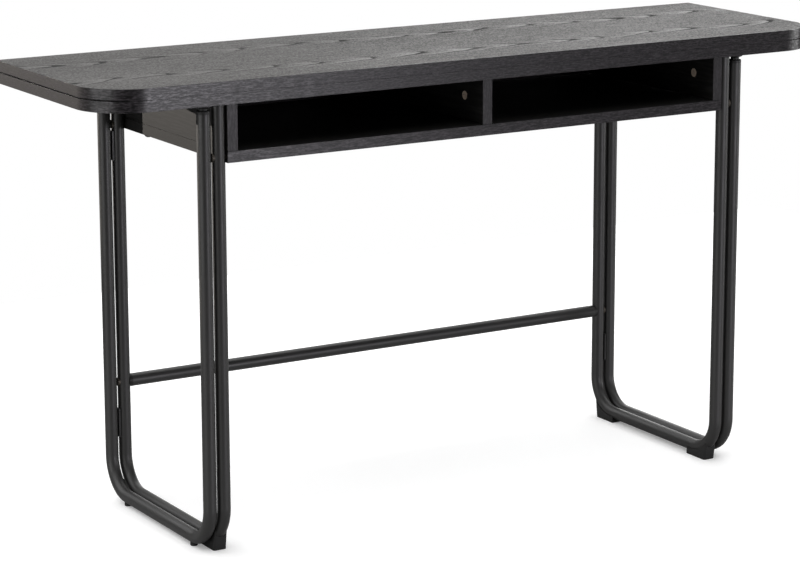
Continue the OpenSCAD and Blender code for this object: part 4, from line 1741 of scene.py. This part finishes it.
@dataclass
class Studio:
    """Pale floor, soft lamps and the camera at the photograph's viewing angle.

    Attributes:
        camera_place: Where the camera stands.
        yaw: Turn of the camera from +Y towards +X, in radians.
        pitch: How far it looks down, in radians.
        roll: How far it leans, in radians.
        lens: Focal length in millimetres.
        film: Width of the film in millimetres.
        rise: Shift of the lens, as a share of the picture's width.
        farthest: Distance at which the view ends.
        sky_power: Strength of the light from above.
        sky_width: Angle that it fills, in degrees.
        sky_turn: Its turn about X and Y, in degrees.
        room_light: Strength of the surroundings as a light.
        bounce: Brightness of the floor as a reflector.
        floor_tones: Darkest and lightest tone of the floor that the camera sees.
        floor_mottle: Noise between those tones.
        floor_glow: Light that the floor adds to what the camera sees.
        floor_rough: Roughness of the floor.
        floor_gloss: Specular level of the floor.
        floor_middle: Middle of the floor.
        floor_half: Half its length along X and along Y.
        softboxes: Lamps round the table.
    """

    camera_place: tuple[float, float, float] = (-2.4325, -3.9972, 1.4305)
    yaw: float = 0.5372
    pitch: float = 0.2120
    roll: float = -0.0027
    lens: float = 125.1
    film: float = 36.0
    rise: float = -0.05
    farthest: float = 100.0
    sky_power: float = 3.8
    sky_width: float = 110.0
    sky_turn: tuple[float, float] = (-12.0, -8.0)
    room_light: float = 0.095
    bounce: float = 0.42
    floor_tones: tuple[float, float] = (0.90, 0.93)
    floor_mottle: Grain = Grain(3.0, 3.0, 3.0, detail=2.0, roughness=0.55)
    floor_glow: float = 0.22
    floor_rough: float = 0.9
    floor_gloss: float = 0.1
    floor_middle: tuple[float, float] = (0.3, 0.3)
    floor_half: tuple[float, float] = (1.7, 1.3)
    softboxes: tuple[Softbox, ...] = (
        Softbox("Back panel", (5.6, 5.6, 1.4), (0.5, 0.0, 0.7), (4.4, 2.4), 120.0),
        Softbox("Right front panel", (1.35, -4.7, 0.3), (-0.5, -0.2, 0.7), (0.8, 0.8), 63.0,
                (0.96, 0.94, 1.0)),
        Softbox("Left side panel", (-4.0, -0.9, 0.38), (-0.3, 0.0, 0.38), (3.2, 0.7), 38.0),
        Softbox("Right side panel", (4.9, -1.8, 0.38), (0.0, 0.0, 0.38), (2.0, 0.7), 42.0),
        Softbox("Left back lamp", (-3.3, 4.3, 1.18), (-0.56, -0.05, 0.72), (0.04, 0.04), 760.0,
                (1.0, 0.93, 0.85), 9.0),
    )

    def build(self) -> None:
        """Builds the floor, the lamps, the surroundings and the camera."""
        self._floor()
        self._sky()
        for softbox in self.softboxes:
            softbox.hang()
        bpy.context.scene.world = self._room()
        bpy.context.scene.view_settings.view_transform = "Standard"
        self._camera()

    def _sky(self) -> None:
        """Adds the even light from above, as wide as a studio's ceiling."""
        light = bpy.data.lights.new("Ceiling", "SUN")
        light.energy = self.sky_power
        light.angle = math.radians(self.sky_width)
        lamp = bpy.data.objects.new("Ceiling", light)
        lamp.rotation_euler = (*map(math.radians, self.sky_turn), 0.0)
        bpy.context.scene.collection.objects.link(lamp)

    def _room(self) -> bpy.types.World:
        """Builds the surroundings: dim as a light, and white behind the table.

        Returns:
            The surroundings.
        """
        world = bpy.data.worlds.new("Studio")
        world.use_nodes = True
        tree = world.node_tree
        dim = tree.nodes["Background"]
        dim.inputs["Color"].default_value = grey(1.0)
        dim.inputs["Strength"].default_value = self.room_light
        seen = tree.nodes.new("ShaderNodeBackground")
        seen.inputs["Color"].default_value = grey(1.0)
        chooser = tree.nodes.new("ShaderNodeMixShader")
        path = tree.nodes.new("ShaderNodeLightPath")
        tree.links.new(path.outputs["Is Camera Ray"], chooser.inputs[0])
        tree.links.new(dim.outputs[0], chooser.inputs[1])
        tree.links.new(seen.outputs[0], chooser.inputs[2])
        tree.links.new(chooser.outputs[0], tree.nodes["World Output"].inputs["Surface"])
        return world

    def _floor(self) -> None:
        """Builds the pale floor, which isn't part of the table and throws little light back."""
        graph = Graph("Pale_floor")
        mottle = graph.noise(self.floor_mottle)
        pale = graph.blend(mottle, *(grey(tone) for tone in self.floor_tones))
        seen = graph.tree.nodes.new("ShaderNodeLightPath").outputs["Is Camera Ray"]
        graph.settle(
            Base_Color=graph.blend(seen, grey(self.bounce), pale),
            Roughness=self.floor_rough,
            Specular_IOR_Level=self.floor_gloss,
            Emission_Color=grey(1.0),
            Emission_Strength=graph.math("MULTIPLY", seen, self.floor_glow),
        )
        shape = bmesh.new()
        bmesh.ops.create_grid(
            shape, x_segments=8, y_segments=8, size=1.0,
            matrix=shift(*self.floor_middle) @ Matrix.Diagonal((*self.floor_half, 1.0, 1.0)),
        )
        mesh = bpy.data.meshes.new("Floor")
        shape.to_mesh(mesh)
        shape.free()
        mesh.materials.append(graph.material)
        floor = bpy.data.objects.new("Floor", mesh)
        bpy.context.scene.collection.objects.link(floor)

    def _camera(self) -> None:
        """Sets the camera to the photograph's place, angle and lens."""
        data = bpy.data.cameras.new("Camera")
        data.sensor_width = self.film
        data.lens = self.lens
        data.shift_y = self.rise
        data.clip_end = self.farthest
        camera = bpy.data.objects.new("Camera", data)
        ahead = Vector((
            math.sin(self.yaw) * math.cos(self.pitch),
            math.cos(self.yaw) * math.cos(self.pitch),
            -math.sin(self.pitch),
        ))
        right = Vector((math.cos(self.yaw), -math.sin(self.yaw), 0.0))
        above = right.cross(ahead)
        turn = Matrix((right, above, -ahead)).transposed()
        turn = turn @ Matrix.Rotation(self.roll, 3, "Z")
        camera.location = self.camera_place
        camera.rotation_euler = turn.to_euler()
        bpy.context.scene.collection.objects.link(camera)
        bpy.context.scene.camera = camera


def main() -> None:
    logging.basicConfig(level=logging.INFO, format="%(name)s: %(message)s")
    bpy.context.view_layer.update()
    layout = Layout.measure()
    gates = [GateFrame(layout, side) for side in Side]
    for part in (TableTop(), StorageBox(layout), FixedFrames(layout), *gates):
        part.dress()
        part.build()
    Studio().build()


if __name__ == "__main__":
    main()
